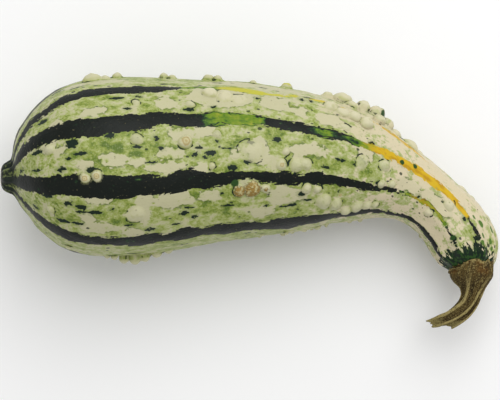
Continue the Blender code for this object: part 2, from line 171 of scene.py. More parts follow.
# %% The skin round it
class Skin:
    """The smooth surface under the warts: an outline turned round the middle line, with ribs."""

    def __init__(self, spine, outline):
        self.spine = spine
        self.along, self.radius = outline.T
        self.run = run_lengths(outline)
        slope = np.gradient(outline, self.run, axis=0)
        self.slope = slope / np.linalg.norm(slope, axis=1)[:, None]
        steps = np.diff(self.run) / (0.5 * (self.radius[1:] + self.radius[:-1]))
        self.north = np.concatenate([[0.0], np.cumsum(steps)])

    def ribs(self, along, angle):
        """How far out the ribs stand."""
        turned = (np.degrees(angle) - RIB_ANGLES[0]) % 360.0 + RIB_ANGLES[0]
        rib = np.interp(turned, RIB_ANGLES, np.arange(len(RIB_ANGLES)))
        height = RIB_HEIGHT
        for middle, reach, extra in (NUB_RIBS, SHOULDER_RIBS):
            height = height + extra * np.exp(-(((along - middle) / reach) ** 2))
        return height * np.cos(TURN * rib)

    def place(self, north, angle, lift):
        """Points above the skin, lifted off it along its normal."""
        along = np.interp(north, self.north, self.along)
        radius = np.interp(north, self.north, self.radius)
        forward = np.interp(north, self.north, self.slope[:, 0])
        widening = np.interp(north, self.north, self.slope[:, 1])
        middle, tangent, out = self.spine.frame(along, angle)
        reach = radius + self.ribs(along, angle) * np.minimum(1.0, radius / RIB_FADE_RADIUS)
        normal = out * forward[..., None] - tangent * widening[..., None]
        return middle + out * reach[..., None] + normal * np.asarray(lift)[..., None]


skin = Skin(spine, curve_through(outline_points))
print("from tip to stem it is", round(skin.run[-1]), "mm, and", round(2 * skin.radius.max()), "mm thick")

# %% [markdown]
# ## The warts
# Warts are small corky growths. The flat ones are domes, and the ones called pearls are nearly whole
# balls that stand on the skin and press against each other. Each is four numbers: along, angle, radius
# and height. The side that faces up is listed. The side that faces down is scattered by a seeded
# draw, in strings and singles, which keeps its distance from the others and from the flat spot that the
# gourd lies on.

# %% Where the warts are
BLOSSOM_END_WARTS = (
    (23, 17, 2.7, 1.6), (21, -34, 2.2, 0.9), (28, -75, 1.6, 1.3), (37, -7, 2.4, 2.4), (42, -6, 2.6, 2.5),
    (45, 83, 3.9, 2.8), (50, 82, 2.2, 1.4), (55, 85, 2.2, 2.2),
)
BELLY_WARTS = (
    (60, 16, 2.9, 1.4), (61, 43, 2.0, 1.0), (82, 13, 3.3, 2.5), (86, 42, 2.2, 1.3), (77, 87, 2.3, 2.6),
    (81, 87, 1.7, 1.8), (96, 87, 2.4, 2.8), (100, 86, 2.0, 2.4), (95, 54, 3.3, 2.6), (101, 52, 4.2, 1.9),
    (107, 49, 3.6, 1.0), (96, 18, 2.1, 1.0), (93, -4, 1.6, 1.0), (111, 6, 5.8, 0.8), (105, -23, 2.9, 1.9),
    (111, -22, 4.1, 2.4), (117, -22, 2.4, 1.6), (124, -4, 2.7, 1.5), (131, -4, 3.6, 1.7),
    (135, -3, 2.9, 1.5), (126, 6, 1.8, 1.1), (129, 87, 2.3, 2.4), (115, 86, 1.7, 1.2),
    (59, -33, 4.5, 1.1),
)
BELLY_EDGE_WARTS = (
    (46, -87, 1.9, 1.2), (50, -88, 2.2, 1.8), (55, -91, 2.5, 3.4), (60, -91, 2.9, 4.2),
    (64, -89, 2.4, 3.3), (69, -86, 2.1, 2.0), (74, -85, 2.0, 1.2),
)
SHOULDER_PEARLS = (
    (165, 84, 9.0, 1.9), (146, 88, 1.8, 2.4), (151, 86, 3.4, 3.9), (154, 77, 2.4, 2.6),
    (158, 84, 3.0, 4.8), (164, 85, 3.3, 5.4), (169, 84, 2.9, 3.5), (165, 71, 2.9, 3.6),
    (174, 84, 3.0, 1.5), (181, 86, 3.8, 2.2), (146, 57, 3.0, 2.2), (150, 52, 2.4, 2.2),
    (154, 52, 2.5, 2.5), (159, 50, 3.2, 3.0), (151, 35, 2.0, 1.0),
)
NECK_WARTS = (
    (136, -23, 2.6, 1.8), (141, -24, 2.0, 1.4), (145, -37, 4.4, 2.2), (152, -41, 3.8, 1.9),
    (159, -50, 3.0, 1.5), (164, -44, 3.6, 1.7), (169, -42, 2.8, 1.4), (173, -41, 2.2, 1.0),
    (172, -11, 2.1, 1.2), (177, -7, 2.0, 1.2), (139, -84, 1.8, 1.0), (146, -83, 2.2, 1.3),
    (152, -82, 1.9, 1.1), (160, 6, 3.6, 1.1), (171, 11, 2.9, 1.2), (185, 79, 2.2, 1.1),
    (200, -20, 2.2, 0.9), (205, 16, 2.7, 1.1), (206, 87, 2.6, 0.7), (220, 84, 2.2, 0.6),
)
SEEN_WARTS = BLOSSOM_END_WARTS + BELLY_WARTS + BELLY_EDGE_WARTS + SHOULDER_PEARLS + NECK_WARTS
print(len(SEEN_WARTS), "warts on the side that faces up")

# %% The warts underneath
SCATTER_SEED = 23
STRINGS, SINGLES, EDGE_ONES = 7, 34, 15
STRING_ALONG, STRING_ANGLES = (30.0, 205.0), (115.0, 245.0)
STRING_WARTS, STRING_SPREAD = (3, 7), (9.0, 7.0)  # how many in a string, and how far they spread
SINGLE_ALONG, SINGLE_ANGLES = (18.0, 222.0), (100.0, 262.0)
EDGE_ALONG, EDGE_ANGLES = (112.0, 180.0), (-100.0, -76.0)
WART_RADII, EDGE_WART_RADII = (1.5, 3.9), (1.1, 1.7)
WART_HEIGHTS = (0.45, 1.05)  # of the radius
WART_CLEARANCE = 0.8  # of the two radii that meet
SEAM_CLEARANCE = 2.5
SEAM_ANGLE = 196.0  # where the skin's flat map is joined, in the middle of a stripe underneath


def clear_of_others(kept, along, angle, radius, height):
    """Whether a wart stays off the ground, off the map's seam and off its neighbours."""
    across = np.interp(along, skin.along, skin.radius)
    north = np.array(np.interp(along, skin.along, skin.north))
    if skin.place(north, np.array(math.radians(angle)), height)[2] < radius:
        return False
    if abs(math.radians(angle - SEAM_ANGLE)) * across < radius + SEAM_CLEARANCE:
        return False
    for other_along, other_angle, other_radius, _ in kept:
        turn = math.radians((angle - other_angle + 180.0) % 360.0 - 180.0)
        if math.hypot(along - other_along, turn * across) < WART_CLEARANCE * (radius + other_radius):
            return False
    return True


def scattered_warts():
    """The warts of the side that faces down, from a seeded draw that keeps them apart."""
    draw = random.Random(SCATTER_SEED)
    middles = []
    for _ in range(STRINGS):
        along, angle = draw.uniform(*STRING_ALONG), draw.uniform(*STRING_ANGLES)
        for _ in range(draw.randint(*STRING_WARTS)):
            place = draw.gauss(along, STRING_SPREAD[0]), draw.gauss(angle, STRING_SPREAD[1])
            middles.append((*place, WART_RADII))
    for _ in range(SINGLES):
        middles.append((draw.uniform(*SINGLE_ALONG), draw.uniform(*SINGLE_ANGLES), WART_RADII))
    for _ in range(EDGE_ONES):
        middles.append((draw.uniform(*EDGE_ALONG), draw.uniform(*EDGE_ANGLES) % 360.0, EDGE_WART_RADII))
    kept = list(SEEN_WARTS)
    for along, angle, (smallest, largest) in middles:
        radius = smallest + (largest - smallest) * draw.random() ** 2
        height = radius * draw.uniform(*WART_HEIGHTS)
        if clear_of_others(kept, along, angle, radius, height):
            kept.append((along, angle, radius, height))
    return kept[len(SEEN_WARTS):]


hidden_warts = scattered_warts()
print(len(hidden_warts), "warts on the side that faces down")

# %% [markdown]
# The rise of a wart over its width makes it a dome or a ball. A flat dome runs out softly into the skin,
# and a pearl ends in an upright edge. Both are one formula, whose exponent falls as the wart gets taller.

# %% The warts as heights
WART_SOFTNESS, SOFTNESS_DROP = 2.2, 1.9  # the exponent of a flat wart, and what its height takes off
BALL_EDGE, SOFTEST_EDGE = 0.5, 2.0
OVALNESS, UNEVENNESS = 0.07, 0.05  # how far a wart's rim departs from a circle


class Warts:
    """All warts on the flat map: their middles, and how high they lift the skin anywhere."""

    def __init__(self, listed):
        along, degrees, self.radius, self.height = np.array(listed, float).T
        self.north = np.interp(along, skin.along, skin.north)
        self.east = np.radians(degrees - SEAM_ANGLE) % TURN
        self.scale = np.interp(along, skin.along, skin.radius)
        self.stalk = np.maximum(0.0, self.height - self.radius)
        softness = WART_SOFTNESS - SOFTNESS_DROP * self.height / self.radius
        self.softness = np.clip(softness, BALL_EDGE, SOFTEST_EDGE)
        self.numbers = range(len(self.radius))

    def wobble(self, number, turn):
        """How much wider than a circle a wart is in each direction."""
        oval, uneven = np.cos(2.0 * turn + 2.4 * number), np.cos(3.0 * turn + 4.1 * number)
        return 1.0 + OVALNESS * oval + UNEVENNESS * uneven

    def rise(self, number, reach):
        """The height of one wart at a distance from its middle."""
        inside = np.maximum(0.0, 1.0 - (reach / self.radius[number]) ** 2)
        cap = min(self.height[number], self.radius[number])
        return np.where(inside > 0.0, self.stalk[number] + cap * inside ** self.softness[number], 0.0)

    def distance(self, number, north, east):
        """How far places are from a wart's middle, as if its wobbly rim were a circle."""
        north, east = north - self.north[number], east - self.east[number]
        return self.scale[number] * np.hypot(north, east) / self.wobble(number, np.arctan2(east, north))


warts = Warts(SEEN_WARTS + tuple(hidden_warts))
print(len(warts.radius), "warts, the largest", 2 * warts.radius.max(), "mm across")

# %% [markdown]
# ## Blots and patches
# Between the stripes the skin is a green ground with cream patches, soft green spots and small dark
# blots, all of them longer along the fruit than round it. Noise alone would put them anywhere, so the
# main ones are listed one by one, as ovals of (along, angle, half length, half width). A seeded draw adds
# those of the side that faces down. The ovals are only a start: the material pushes their edges about
# until they are ragged.

# %% Where the blots and patches are
UPPER_BLOTS = (
    (53, 48, 3.3, 0.8), (62, 49, 1.8, 0.6), (57, 38, 1.3, 0.6), (85, 37, 2.6, 0.7), (96, 40, 1.4, 0.7),
    (22, 45, 2.0, 1.0), (76, 65, 1.9, 0.6), (115, 51, 1.4, 0.6), (134, 57, 1.0, 0.6), (138, 57, 1.0, 0.6),
    (137, 62, 2.8, 0.7), (153, 79, 1.4, 0.7), (163, 29, 1.4, 0.6), (166, 83, 1.2, 2.2),
    (99, 75, 2.4, 0.6), (38, 68, 2.6, 0.5), (30, 76, 3.0, 0.5), (118, 71, 2.0, 0.5),
)
CENTRE_BLOTS = (
    (33, 17, 2.5, 2.0), (36, 9, 3.1, 0.9), (31, 7, 1.4, 0.6), (18, 18, 1.9, 1.0), (49, 19, 2.3, 1.1),
    (11, 6, 1.0, 0.7), (17, 2, 2.0, 0.6), (27, 0, 2.2, 0.8), (40, -2, 2.4, 1.1), (69, 16, 1.2, 1.1),
    (60, 11, 2.2, 0.5), (71, 10, 1.4, 0.7), (86, 4, 1.4, 1.2), (88, 9, 1.3, 0.6), (93, 5, 2.5, 1.0),
    (90, 2, 1.4, 0.6), (96, 13, 1.4, 0.7), (100, 8, 2.7, 0.5), (110, 12, 2.2, 0.7), (109, -2, 2.3, 0.9),
    (66, 1, 2.7, 0.5), (102, -6, 2.0, 1.3), (122, 15, 1.7, 1.1), (150, 3, 2.2, 0.6), (156, 2, 1.0, 0.6),
    (144, -5, 2.0, 0.7), (178, 25, 1.2, 1.0), (185, 33, 1.8, 0.8), (170, -11, 1.2, 0.9),
)
LOWER_BLOTS = (
    (29, -25, 1.9, 1.0), (34, -27, 2.6, 1.0), (40, -31, 3.6, 0.9), (34, -31, 2.4, 0.7),
    (32, -41, 2.5, 0.7), (26, -41, 2.9, 1.0), (48, -29, 1.2, 0.7), (20, -21, 1.9, 0.9),
    (15, -39, 1.4, 0.7), (97, -24, 0.8, 0.7), (100, -34, 3.3, 0.5), (80, -36, 1.7, 0.9),
    (82, -32, 2.0, 0.5), (84, -40, 1.5, 0.7), (76, -44, 1.9, 0.5), (65, -46, 2.6, 0.9),
    (56, -41, 2.3, 0.6), (134, -28, 1.8, 1.4), (137, -34, 1.9, 0.5), (130, -38, 2.3, 0.7),
    (126, -39, 1.9, 0.5), (118, -37, 1.0, 0.7), (152, -26, 1.3, 0.5), (127, -18, 2.3, 0.6),
    (59, -80, 3.6, 0.7), (80, -72, 1.9, 0.5), (110, -68, 1.7, 0.5), (191, -8, 0.9, 0.7),
    (196, -7, 1.4, 0.5),
)
STEM_END_BLOTS = (
    (219, -16, 1.6, 1.3), (223, -18, 2.6, 0.6), (225, 21, 1.6, 1.4), (229, 17, 3.0, 1.0),
    (220, 25, 2.7, 0.6), (214, 19, 1.0, 0.6), (227, -38, 3.6, 1.0), (231, -20, 3.6, 1.2),
    (232, 2, 3.4, 1.1), (230, -5, 3.0, 0.7),
)
PATCHES = (
    (49, 3, 5.9, 3.4), (22, 20, 3.5, 2.4), (37, -36, 3.4, 3.0), (59, -33, 4.6, 4.0), (28, 14, 3.0, 2.0),
    (38, 1, 3.8, 2.2), (99, 50, 14.0, 6.5), (75, 43, 4.9, 4.4), (63, -23, 4.0, 2.9), (76, -25, 8.7, 3.9),
    (60, -35, 4.9, 3.2), (57, -47, 4.1, 2.4), (127, -29, 9.3, 4.1), (114, 5, 4.5, 6.2),
    (145, 39, 5.6, 3.8), (161, 15, 4.3, 3.9), (42, -43, 8.4, 3.0), (59, 2, 3.5, 2.6), (75, 6, 6.3, 3.1),
    (72, -3, 9.0, 2.0), (122, 48, 6.7, 4.7), (132, 43, 3.9, 2.9), (87, -6, 4.0, 2.6), (27, 34, 3.6, 2.5),
    (44, 38, 5.6, 2.4), (91, -25, 5.6, 2.9), (117, -42, 5.8, 2.8), (43, -22, 6.2, 2.2),
    (80, 19, 5.4, 2.7), (91, 21, 4.3, 2.8), (132, 8, 4.4, 3.6), (140, 8, 4.1, 3.1), (103, 6, 2.6, 2.2),
    (45, 73, 14.0, 3.0), (112, 74, 20.0, 4.5), (185, 0, 6.0, 3.0), (200, 2, 9.0, 3.5),
)
GREEN_SPOTS = (
    (59, 5, 2.6, 2.0), (56, 19, 2.1, 1.6), (52, 10, 2.1, 3.1), (44, 14, 3.7, 1.6), (41, 5, 4.2, 1.5),
    (31, -1, 1.3, 3.0), (97, 18, 1.8, 1.6), (73, 3, 3.6, 1.3), (62, -3, 3.1, 0.9), (56, -26, 2.7, 2.0),
    (55, -36, 1.3, 1.1), (66, -35, 1.3, 1.1), (90, -36, 2.5, 2.1), (99, -38, 2.8, 2.2),
    (139, -7, 2.7, 1.7), (162, -4, 2.0, 1.3), (139, 36, 1.3, 2.8), (130, 42, 2.2, 1.7),
    (125, 48, 1.7, 1.3), (157, 46, 1.3, 2.4), (157, -39, 3.3, 1.7), (38, 46, 2.1, 1.3),
    (42, 45, 2.2, 1.3), (65, 40, 1.9, 1.6), (79, 22, 2.2, 1.2), (51, -21, 1.8, 0.9), (44, -33, 2.3, 2.1),
    (49, -39, 1.9, 1.7), (118, 20, 1.5, 1.1), (165, -1, 2.0, 1.8), (176, 11, 2.0, 1.7),
    (171, -6, 2.0, 1.8), (113, 15, 3.0, 1.6), (93, -4, 1.3, 1.1), (77, -27, 1.0, 0.9),
)
STEM_END_SPOTS = (
    (228, 29, 1.3, 0.9), (228, 51, 1.4, 0.6), (231, 38, 1.3, 1.0), (231, 52, 1.1, 0.5),
    (233, 31, 1.4, 1.0), (225, 35, 1.4, 0.8), (220, 45, 1.8, 1.1), (224, 61, 1.5, 0.9),
    (228, 68, 1.4, 0.8), (216, 38, 1.1, 0.7),
)
# The broad parts where the whole ground is greener, and those where it is paler
LUSH_PARTS = (
    (48, 10, 18.0, 8.0), (152, 3, 16.0, 7.0), (152, -32, 16.0, 7.0), (92, -33, 12.0, 6.0),
    (134, 48, 9.0, 5.0),
)
PALE_PARTS = ((112, 58, 26.0, 13.0), (150, 62, 24.0, 14.0), (190, 58, 32.0, 13.0), (205, -35, 14.0, 6.0))

MARK_SEED = 5
HIDDEN_ALONG, HIDDEN_ANGLES = (14.0, 222.0), (96.0, 264.0)
# How many more there are underneath, and the longest half length and widest half width
HIDDEN_BLOTS, HIDDEN_PATCHES, HIDDEN_SPOTS = (64, 3.4, 1.2), (46, 12.0, 5.0), (40, 3.4, 2.2)
OVAL_SIZES, OVAL_WIDTHS = (0.35, 1.0), (0.7, 1.0)  # of the longest and the widest


def with_hidden(listed, draw, count, longest, widest):
    """The listed ovals, and as many more at random on the side that faces down."""
    ovals = list(listed)
    for _ in range(count):
        size = draw.uniform(*OVAL_SIZES)
        half_width = widest * size * draw.uniform(*OVAL_WIDTHS)
        place = draw.uniform(*HIDDEN_ALONG), draw.uniform(*HIDDEN_ANGLES)
        ovals.append((*place, longest * size, half_width))
    return ovals


mark_draw = random.Random(MARK_SEED)
blots = with_hidden(UPPER_BLOTS + CENTRE_BLOTS + LOWER_BLOTS + STEM_END_BLOTS, mark_draw, *HIDDEN_BLOTS)
patches = with_hidden(PATCHES, mark_draw, *HIDDEN_PATCHES)
green_spots = with_hidden(GREEN_SPOTS, mark_draw, *HIDDEN_SPOTS)
print(len(blots), "blots,", len(patches), "patches and", len(green_spots), "spots")

# %% [markdown]
# ## The fruit's surface
# A grid of squares would cut the round warts into steps. Instead the skin is unrolled onto a flat map on
# which small circles stay circles, as on a sea chart. Even rows of points cover the map, each wart brings
# rings of its own points, and a triangulation that avoids slivers joins them all. Rolled up again, every
# wart is cleanly round, and the balls of the pearls stand free on a foot a little narrower than the ball.

# %% Rings of points on the warts
WART_RINGS = 8
WART_POINT_GAP, RING_POINTS = 0.5, (20, 48)  # the gap wished for, and a ring's fewest and most points
WART_FOOT, PEARL_FOOT = 1.05, 0.94  # of the wart's radius: on the map, and in space under a pearl
PEARL_FROM = 0.9  # a wart is a pearl from this height on, as a share of its radius
TALLEST_NEIGHBOUR = 0.8  # the foot's ring leaves out points that another wart lifts more than this
NEIGHBOUR_REACH = 1.2  # of two radii: warts further apart than this don't meet
INNER_POINTS, FEWEST_POINTS = 1.2, 6  # inner rings have a few points more than their size asks for
JUST_INSIDE = 0.999


def highest_other(number, north, east):
    """The height of the other warts at places near one of them."""
    height = np.zeros(len(north))
    for other in warts.numbers:
        gap = warts.distance(number, warts.north[other], warts.east[other])
        if other != number and gap < NEIGHBOUR_REACH * (warts.radius[number] + warts.radius[other]):
            height = np.maximum(height, warts.rise(other, warts.distance(other, north, east)))
    return height


def wart_points():
    """Rings of points over each wart: where on the map, where in space, and the lift."""
    for number in warts.numbers:
        radius, scale = warts.radius[number], warts.scale[number]
        pearl = warts.height[number] > PEARL_FROM * radius
        around = int(np.clip(TURN * radius / WART_POINT_GAP, *RING_POINTS))
        slopes = np.linspace(0.0, TURN / 4.0, WART_RINGS + 1)
        shares = [(math.sin(slope), math.sin(slope)) for slope in slopes]
        shares.append((WART_FOOT, PEARL_FOOT if pearl else WART_FOOT))
        for level, (share, real_share) in enumerate(shares):
            wished = round(around * min(1.0, share * INNER_POINTS))
            count = 1 if level == 0 else max(FEWEST_POINTS, wished)
            turn = TURN * (np.arange(count) + 0.5 * (level % 2)) / count
            steps = np.stack([np.cos(turn), np.sin(turn)]) * warts.wobble(number, turn) * radius / scale
            middle = np.array([[warts.north[number]], [warts.east[number]]])
            on_map, in_space = middle + share * steps, middle + real_share * steps
            others = highest_other(number, *on_map)
            if level == len(shares) - 1:
                keep, lift = others < TALLEST_NEIGHBOUR * warts.height[number], others
            else:
                lift = warts.rise(number, np.full(count, min(share, JUST_INSIDE) * radius))
                keep = others < lift
            yield np.column_stack([*on_map, *in_space, lift])[keep]


ring_points = np.vstack(list(wart_points()))
print(len(ring_points), "points on the warts")

# %% Even rows of points between them, and closer ones under the blots
SKIN_SPACING = (0.5, 1.05)  # between the skin's own points, at least and at most
POINTS_ROUND = 112  # at least, round the thin parts
ROW_GAP = 0.866  # of the spacing, as between the rows of a honeycomb
FEWEST_ROUND = 12
FOOT_MARGIN = 0.35
BLOT_SPACING, BLOT_MARGIN, SEAM_MARGIN = 0.45, 0.5, 0.1


def clear_of_warts(north, east):
    """Which places lie outside every wart, with a little to spare."""
    clear = np.ones(len(east), bool)
    for number in warts.numbers:
        clear &= warts.distance(number, north, east) > warts.radius[number] * WART_FOOT + FOOT_MARGIN
    return clear


def skin_rows():
    """Rows of evenly spread points round the skin, each from one side of the seam to the other."""
    spacing = np.clip(TURN * skin.radius / POINTS_ROUND, *SKIN_SPACING)
    steps = np.diff(skin.run) / (ROW_GAP * 0.5 * (spacing[1:] + spacing[:-1]))
    rows = np.concatenate([[0.0], np.cumsum(steps)])
    for number, row in enumerate(np.linspace(0.0, rows[-1], round(rows[-1]) + 1)):
        north = np.interp(row, rows, skin.north)
        wished = round(TURN * np.interp(row, rows, skin.radius) / np.interp(row, rows, spacing))
        around = max(FEWEST_ROUND, wished)
        east = (np.arange(around) + 0.5 * (number % 2)) / around
        yield north, np.unique(np.concatenate([[0.0], east, [1.0]])) * TURN


def clear_rows():
    """The skin's own points, except where a wart stands."""
    for north, east in skin_rows():
        clear = clear_of_warts(north, east)
        clear[[0, -1]] = True
        rows = np.column_stack([np.full(len(east), north), east])
        yield np.column_stack([rows, rows, np.zeros(len(east))])[clear]


def blot_points():
    """Closer points where a small dark blot lies, so that the mesh can hold its outline."""
    for blot_along, degrees, half_length, half_width in blots:
        radius = np.interp(blot_along, skin.along, skin.radius)
        reach, spread = half_length + BLOT_MARGIN, half_width + BLOT_MARGIN
        steps = np.arange(-reach, reach, BLOT_SPACING)
        asides = np.arange(-spread, spread, BLOT_SPACING)
        step, aside = [grid.ravel() for grid in np.meshgrid(steps, asides)]
        north = np.interp(blot_along, skin.along, skin.north) + step / radius
        east = math.radians(degrees - SEAM_ANGLE) % TURN + aside / radius
        clear = (east > SEAM_MARGIN) & (east < TURN - SEAM_MARGIN) & clear_of_warts(north, east)
        clear &= (north > skin.north[2]) & (north < skin.north[-3])
        yield np.column_stack([north, east, north, east, np.zeros(len(north))])[clear]


row_points, close_points = np.vstack(list(clear_rows())), np.vstack(list(blot_points()))
print(len(row_points), "points on the skin and", len(close_points), "under the blots")

# %% [markdown]
# No fruit is turned as cleanly as a vase, so low lumps of two sizes move the skin in and out by a
# fraction of a millimetre. The neck has stronger ones, and every wart gets a few of its own.

# %% Low lumps
LUMPS = ((13.0, 0.30), (4.2, 0.16))  # size and height of the skin's low lumps
NECK_LUMPS = (5.5, 0.34)
WART_LUMPS = (1.7, 0.16)  # size, and height as a share of the wart's own
NECK_LUMPS_START, NECK_LUMPS_GROW = 150.0, 45.0  # where along, and over what length
NUB_END, NUB_FADE, STEM_FADE_START, STEM_FADE = 8.0, 8.0, 234.0, 6.0  # both ends stay smooth


def wander(points, size):
    """A smooth number between about -1 and 1 at each point, which changes over the given size."""
    numbers = np.array([noise.noise(Vector(p) / size) for p in points.reshape(-1, 3)])
    return numbers.reshape(points.shape[:-1])


def straightened(along, across, angle):
    """The places on the fruit as if its middle line were straight."""
    return np.column_stack([along, across * np.cos(angle), across * np.sin(angle)])


def lumpy(north, angle, lift):
    """The lift with the skin's own lumps, which are stronger on the neck, and with lumps on the warts."""
    along = np.interp(north, skin.north, skin.along)
    straight = straightened(along, np.interp(north, skin.north, skin.radius), angle)
    lumps = sum(height * wander(straight, size) for size, height in LUMPS)
    on_neck = np.clip((along - NECK_LUMPS_START) / NECK_LUMPS_GROW, 0.0, 1.0)
    lumps = lumps + on_neck * NECK_LUMPS[1] * wander(straight, NECK_LUMPS[0])
    lumps = lumps * np.clip((along - NUB_END) / NUB_FADE, 0.0, 1.0)
    lumps = lumps * np.clip((STEM_FADE_START - along) / STEM_FADE, 0.0, 1.0)
    return lift * (1.0 + WART_LUMPS[1] * wander(straight, WART_LUMPS[0])) + lumps


example = lumpy(np.array([skin.north[-1] / 2.0]), np.array([0.0]), np.array([0.0]))
print("halfway along, on top, the lumps lift the skin by", round(float(example[0]), 2), "mm")

# %% [markdown]
# Where rings, rows and closer points meet, some lie almost on each other, so those are thinned first.
# Then the map is triangulated and rolled up, its two sides are joined point by point, and a fan closes
# each end.

# %% The surface rolled up
CLOSEST_POINTS = 0.16
TINY = 1e-9


def thinned(points):
    """The points without those that lie too close to one before them."""
    places = skin.place(points[:, 0], points[:, 1], np.zeros(len(points)))
    tree = KDTree(len(points))
    for number, place in enumerate(places):
        tree.insert(place, number)
    tree.balance()
    keep = np.ones(len(points), bool)
    inside = (points[:, 1] > TINY) & (points[:, 1] < TURN - TINY)
    for number in np.flatnonzero(inside):
        for _, near, _ in tree.find_range(places[number], CLOSEST_POINTS):
            if near < number and keep[near]:
                keep[number] = False
    return points[keep]


def rolled_up(points):
    """The closed surface: where each corner is along and round, its place, and the triangles."""
    flat = [tuple(p) for p in points[:, :2]]
    _, _, faces, sources, _, _ = delaunay_2d_cdt(flat, [], [], 0, TINY, True)
    points = points[[ids[0] for ids in sources]]
    map_north, map_east, north, east, lift = points.T
    angle = east + math.radians(SEAM_ANGLE)
    places = skin.place(north, angle, lumpy(north, angle, lift))
    start = {round(n, 6): i for i, (n, e) in enumerate(zip(map_north, map_east)) if e < TINY}
    joined = list(range(len(points)))
    for i in np.flatnonzero(map_east > TURN - TINY):
        joined[i] = start[round(map_north[i], 6)]
    triangles = [tuple(joined[i] for i in face) for face in faces]
    for end in (0.0, skin.north[-1]):
        ring = [i for i in range(len(points)) if abs(map_north[i] - end) < TINY and joined[i] == i]
        ring.sort(key=lambda i: map_east[i])
        places = np.vstack([places, places[ring].mean(axis=0)])
        north, angle, lift = np.append(north, end), np.append(angle, 0.0), np.append(lift, 0.0)
        triangles += [(a, b, len(places) - 1) for a, b in zip(ring, ring[1:] + ring[:1])]
    places[:, 2] = np.maximum(places[:, 2], 0.0)  # the flat spot that the gourd lies on
    return north, angle, lift, places, triangles


surface_points = thinned(np.vstack([ring_points, close_points, row_points]))
north, angle, lift, places, triangles = rolled_up(surface_points)
along = np.interp(north, skin.north, skin.along)
across = np.interp(north, skin.north, skin.radius)
print(len(places), "points and", len(triangles), "triangles")


# %% A mesh object with its faces turned outwards
def in_scene(name, data):
    """A new object for a mesh, light or camera, put into the scene."""
    made = bpy.data.objects.new(name, data)
    bpy.context.scene.collection.objects.link(made)
    return made


def solid(name, places, faces, marks):
    """A smooth closed object from points in millimetres, with numbers for its material on each point."""
    mesh = bpy.data.meshes.new(name)
    mesh.from_pydata((places * MM).tolist(), [], faces)
    for mark, values in marks.items():
        kind, field = ("FLOAT", "value") if values.ndim == 1 else ("FLOAT_VECTOR", "vector")
        layer = mesh.attributes.new(mark, kind, "POINT")
        layer.data.foreach_set(field, values.astype(np.float32).ravel())
    shape = bmesh.new()
    shape.from_mesh(mesh)
    bmesh.ops.delete(shape, geom=[v for v in shape.verts if not v.link_faces], context="VERTS")
    bmesh.ops.recalc_face_normals(shape, faces=shape.faces)
    shape.to_mesh(mesh)
    shape.free()
    mesh.shade_smooth()
    print(name, "has", len(mesh.vertices), "points and", len(mesh.polygons), "faces")
    return in_scene(name, mesh)


# %% [markdown]
# ## Where the stripes run
# Ten stripes run from the blossom end to the stem, each over a rib. They wander, swell and thin out, and
# their colour changes on the way: most stay nearly black green, one turns bright green for a hand's
# breadth, and the two on the outside of the bend end golden yellow. Each stripe is a short list of
# (along, angle, half width). From those lists every point of the surface gets its distance from the
# nearest stripe's edge, which is smooth, so that the material can draw a sharp and ragged edge from it
# that is finer than the mesh.

# %% The stripes as lists
UPPER_STRIPE = (
    (9, 50, 1.0), (16, 55, 2.3), (26, 55, 2.5), (43, 56, 2.9), (59, 56, 2.9), (70, 57, 2.5),
    (78, 58, 1.6), (84, 59, 1.0), (90, 61, 0.9), (99, 62, 1.6), (105, 61, 2.4), (114, 59, 2.1),
    (120, 58, 1.2), (133, 61, 0.6), (146, 62, 0.3), (154, 60, -0.2), (164, 59, 0.0), (172, 63, 1.5),
    (181, 66, 1.5), (188, 60, 0.2), (193, 60, -1.0),
)
BROAD_STRIPE = (
    (2, 20, 0.6), (7, 25, 1.2), (12, 29, 3.0), (20, 29, 3.4), (30, 28, 3.9), (39, 26, 4.5), (46, 26, 4.5),
    (53, 27, 4.0), (64, 28, 4.0), (70, 30, 3.5), (78, 29, 3.3), (88, 28, 3.6), (97, 30, 3.4),
    (108, 30, 2.9), (116, 29, 2.4), (122, 28, 2.2), (132, 26, 2.6), (143, 24, 2.2), (152, 23, 1.9),
    (165, 24, 1.7), (176, 27, 1.9), (192, 31, 2.0), (202, 31, 1.7), (210, 28, 1.3), (218, 24, 0.7),
    (224, 24, 0.5),
)
MIDDLE_STRIPE = (
    (0, -13, 0.6), (6, -13, 1.8), (11, -12, 3.6), (21, -12, 4.1), (31, -11, 4.8), (39, -13, 5.3),
    (52, -14, 5.2), (62, -13, 4.3), (73, -14, 3.8), (78, -12, 5.1), (84, -11, 4.4), (90, -14, 3.5),
    (100, -13, 2.6), (109, -11, 1.9), (120, -14, 2.5), (127, -15, 3.1), (133, -15, 2.1), (138, -14, 2.8),
    (149, -16, 2.5), (158, -17, 1.9), (167, -18, 1.9), (175, -15, 1.1), (184, -13, 0.9), (192, -10, 0.8),
    (199, -8, 0.8), (205, -10, 0.8), (211, -14, 0.6), (218, -17, 0.5), (224, -18, 0.5),
)
LOWER_STRIPE = (
    (0, -52, 0.5), (8, -49, 1.0), (12, -51, 2.0), (20, -54, 3.4), (29, -55, 3.7), (38, -56, 3.0),
    (46, -56, 2.8), (57, -57, 4.2), (64, -56, 4.2), (72, -56, 2.7), (79, -55, 4.5), (88, -56, 2.9),
    (98, -58, 4.4), (108, -56, 3.6), (118, -59, 3.6), (124, -60, 4.9), (130, -61, 5.8), (136, -58, 4.4),
    (145, -59, 3.2), (158, -57, 2.3), (171, -52, 1.6), (184, -57, 1.4), (200, -54, 1.4), (209, -57, 1.3),
    (218, -59, 1.5), (228, -60, 2.0),
)
FAR_STRIPE = (
    (2, 84, 0.6), (10, 80, 1.4), (17, 79, 2.2), (26, 82, 2.4), (34, 89, 2.6), (60, 97, 3.0),
    (100, 100, 2.6), (150, 104, 1.8), (185, 108, 1.0), (220, 112, 0.8),
)
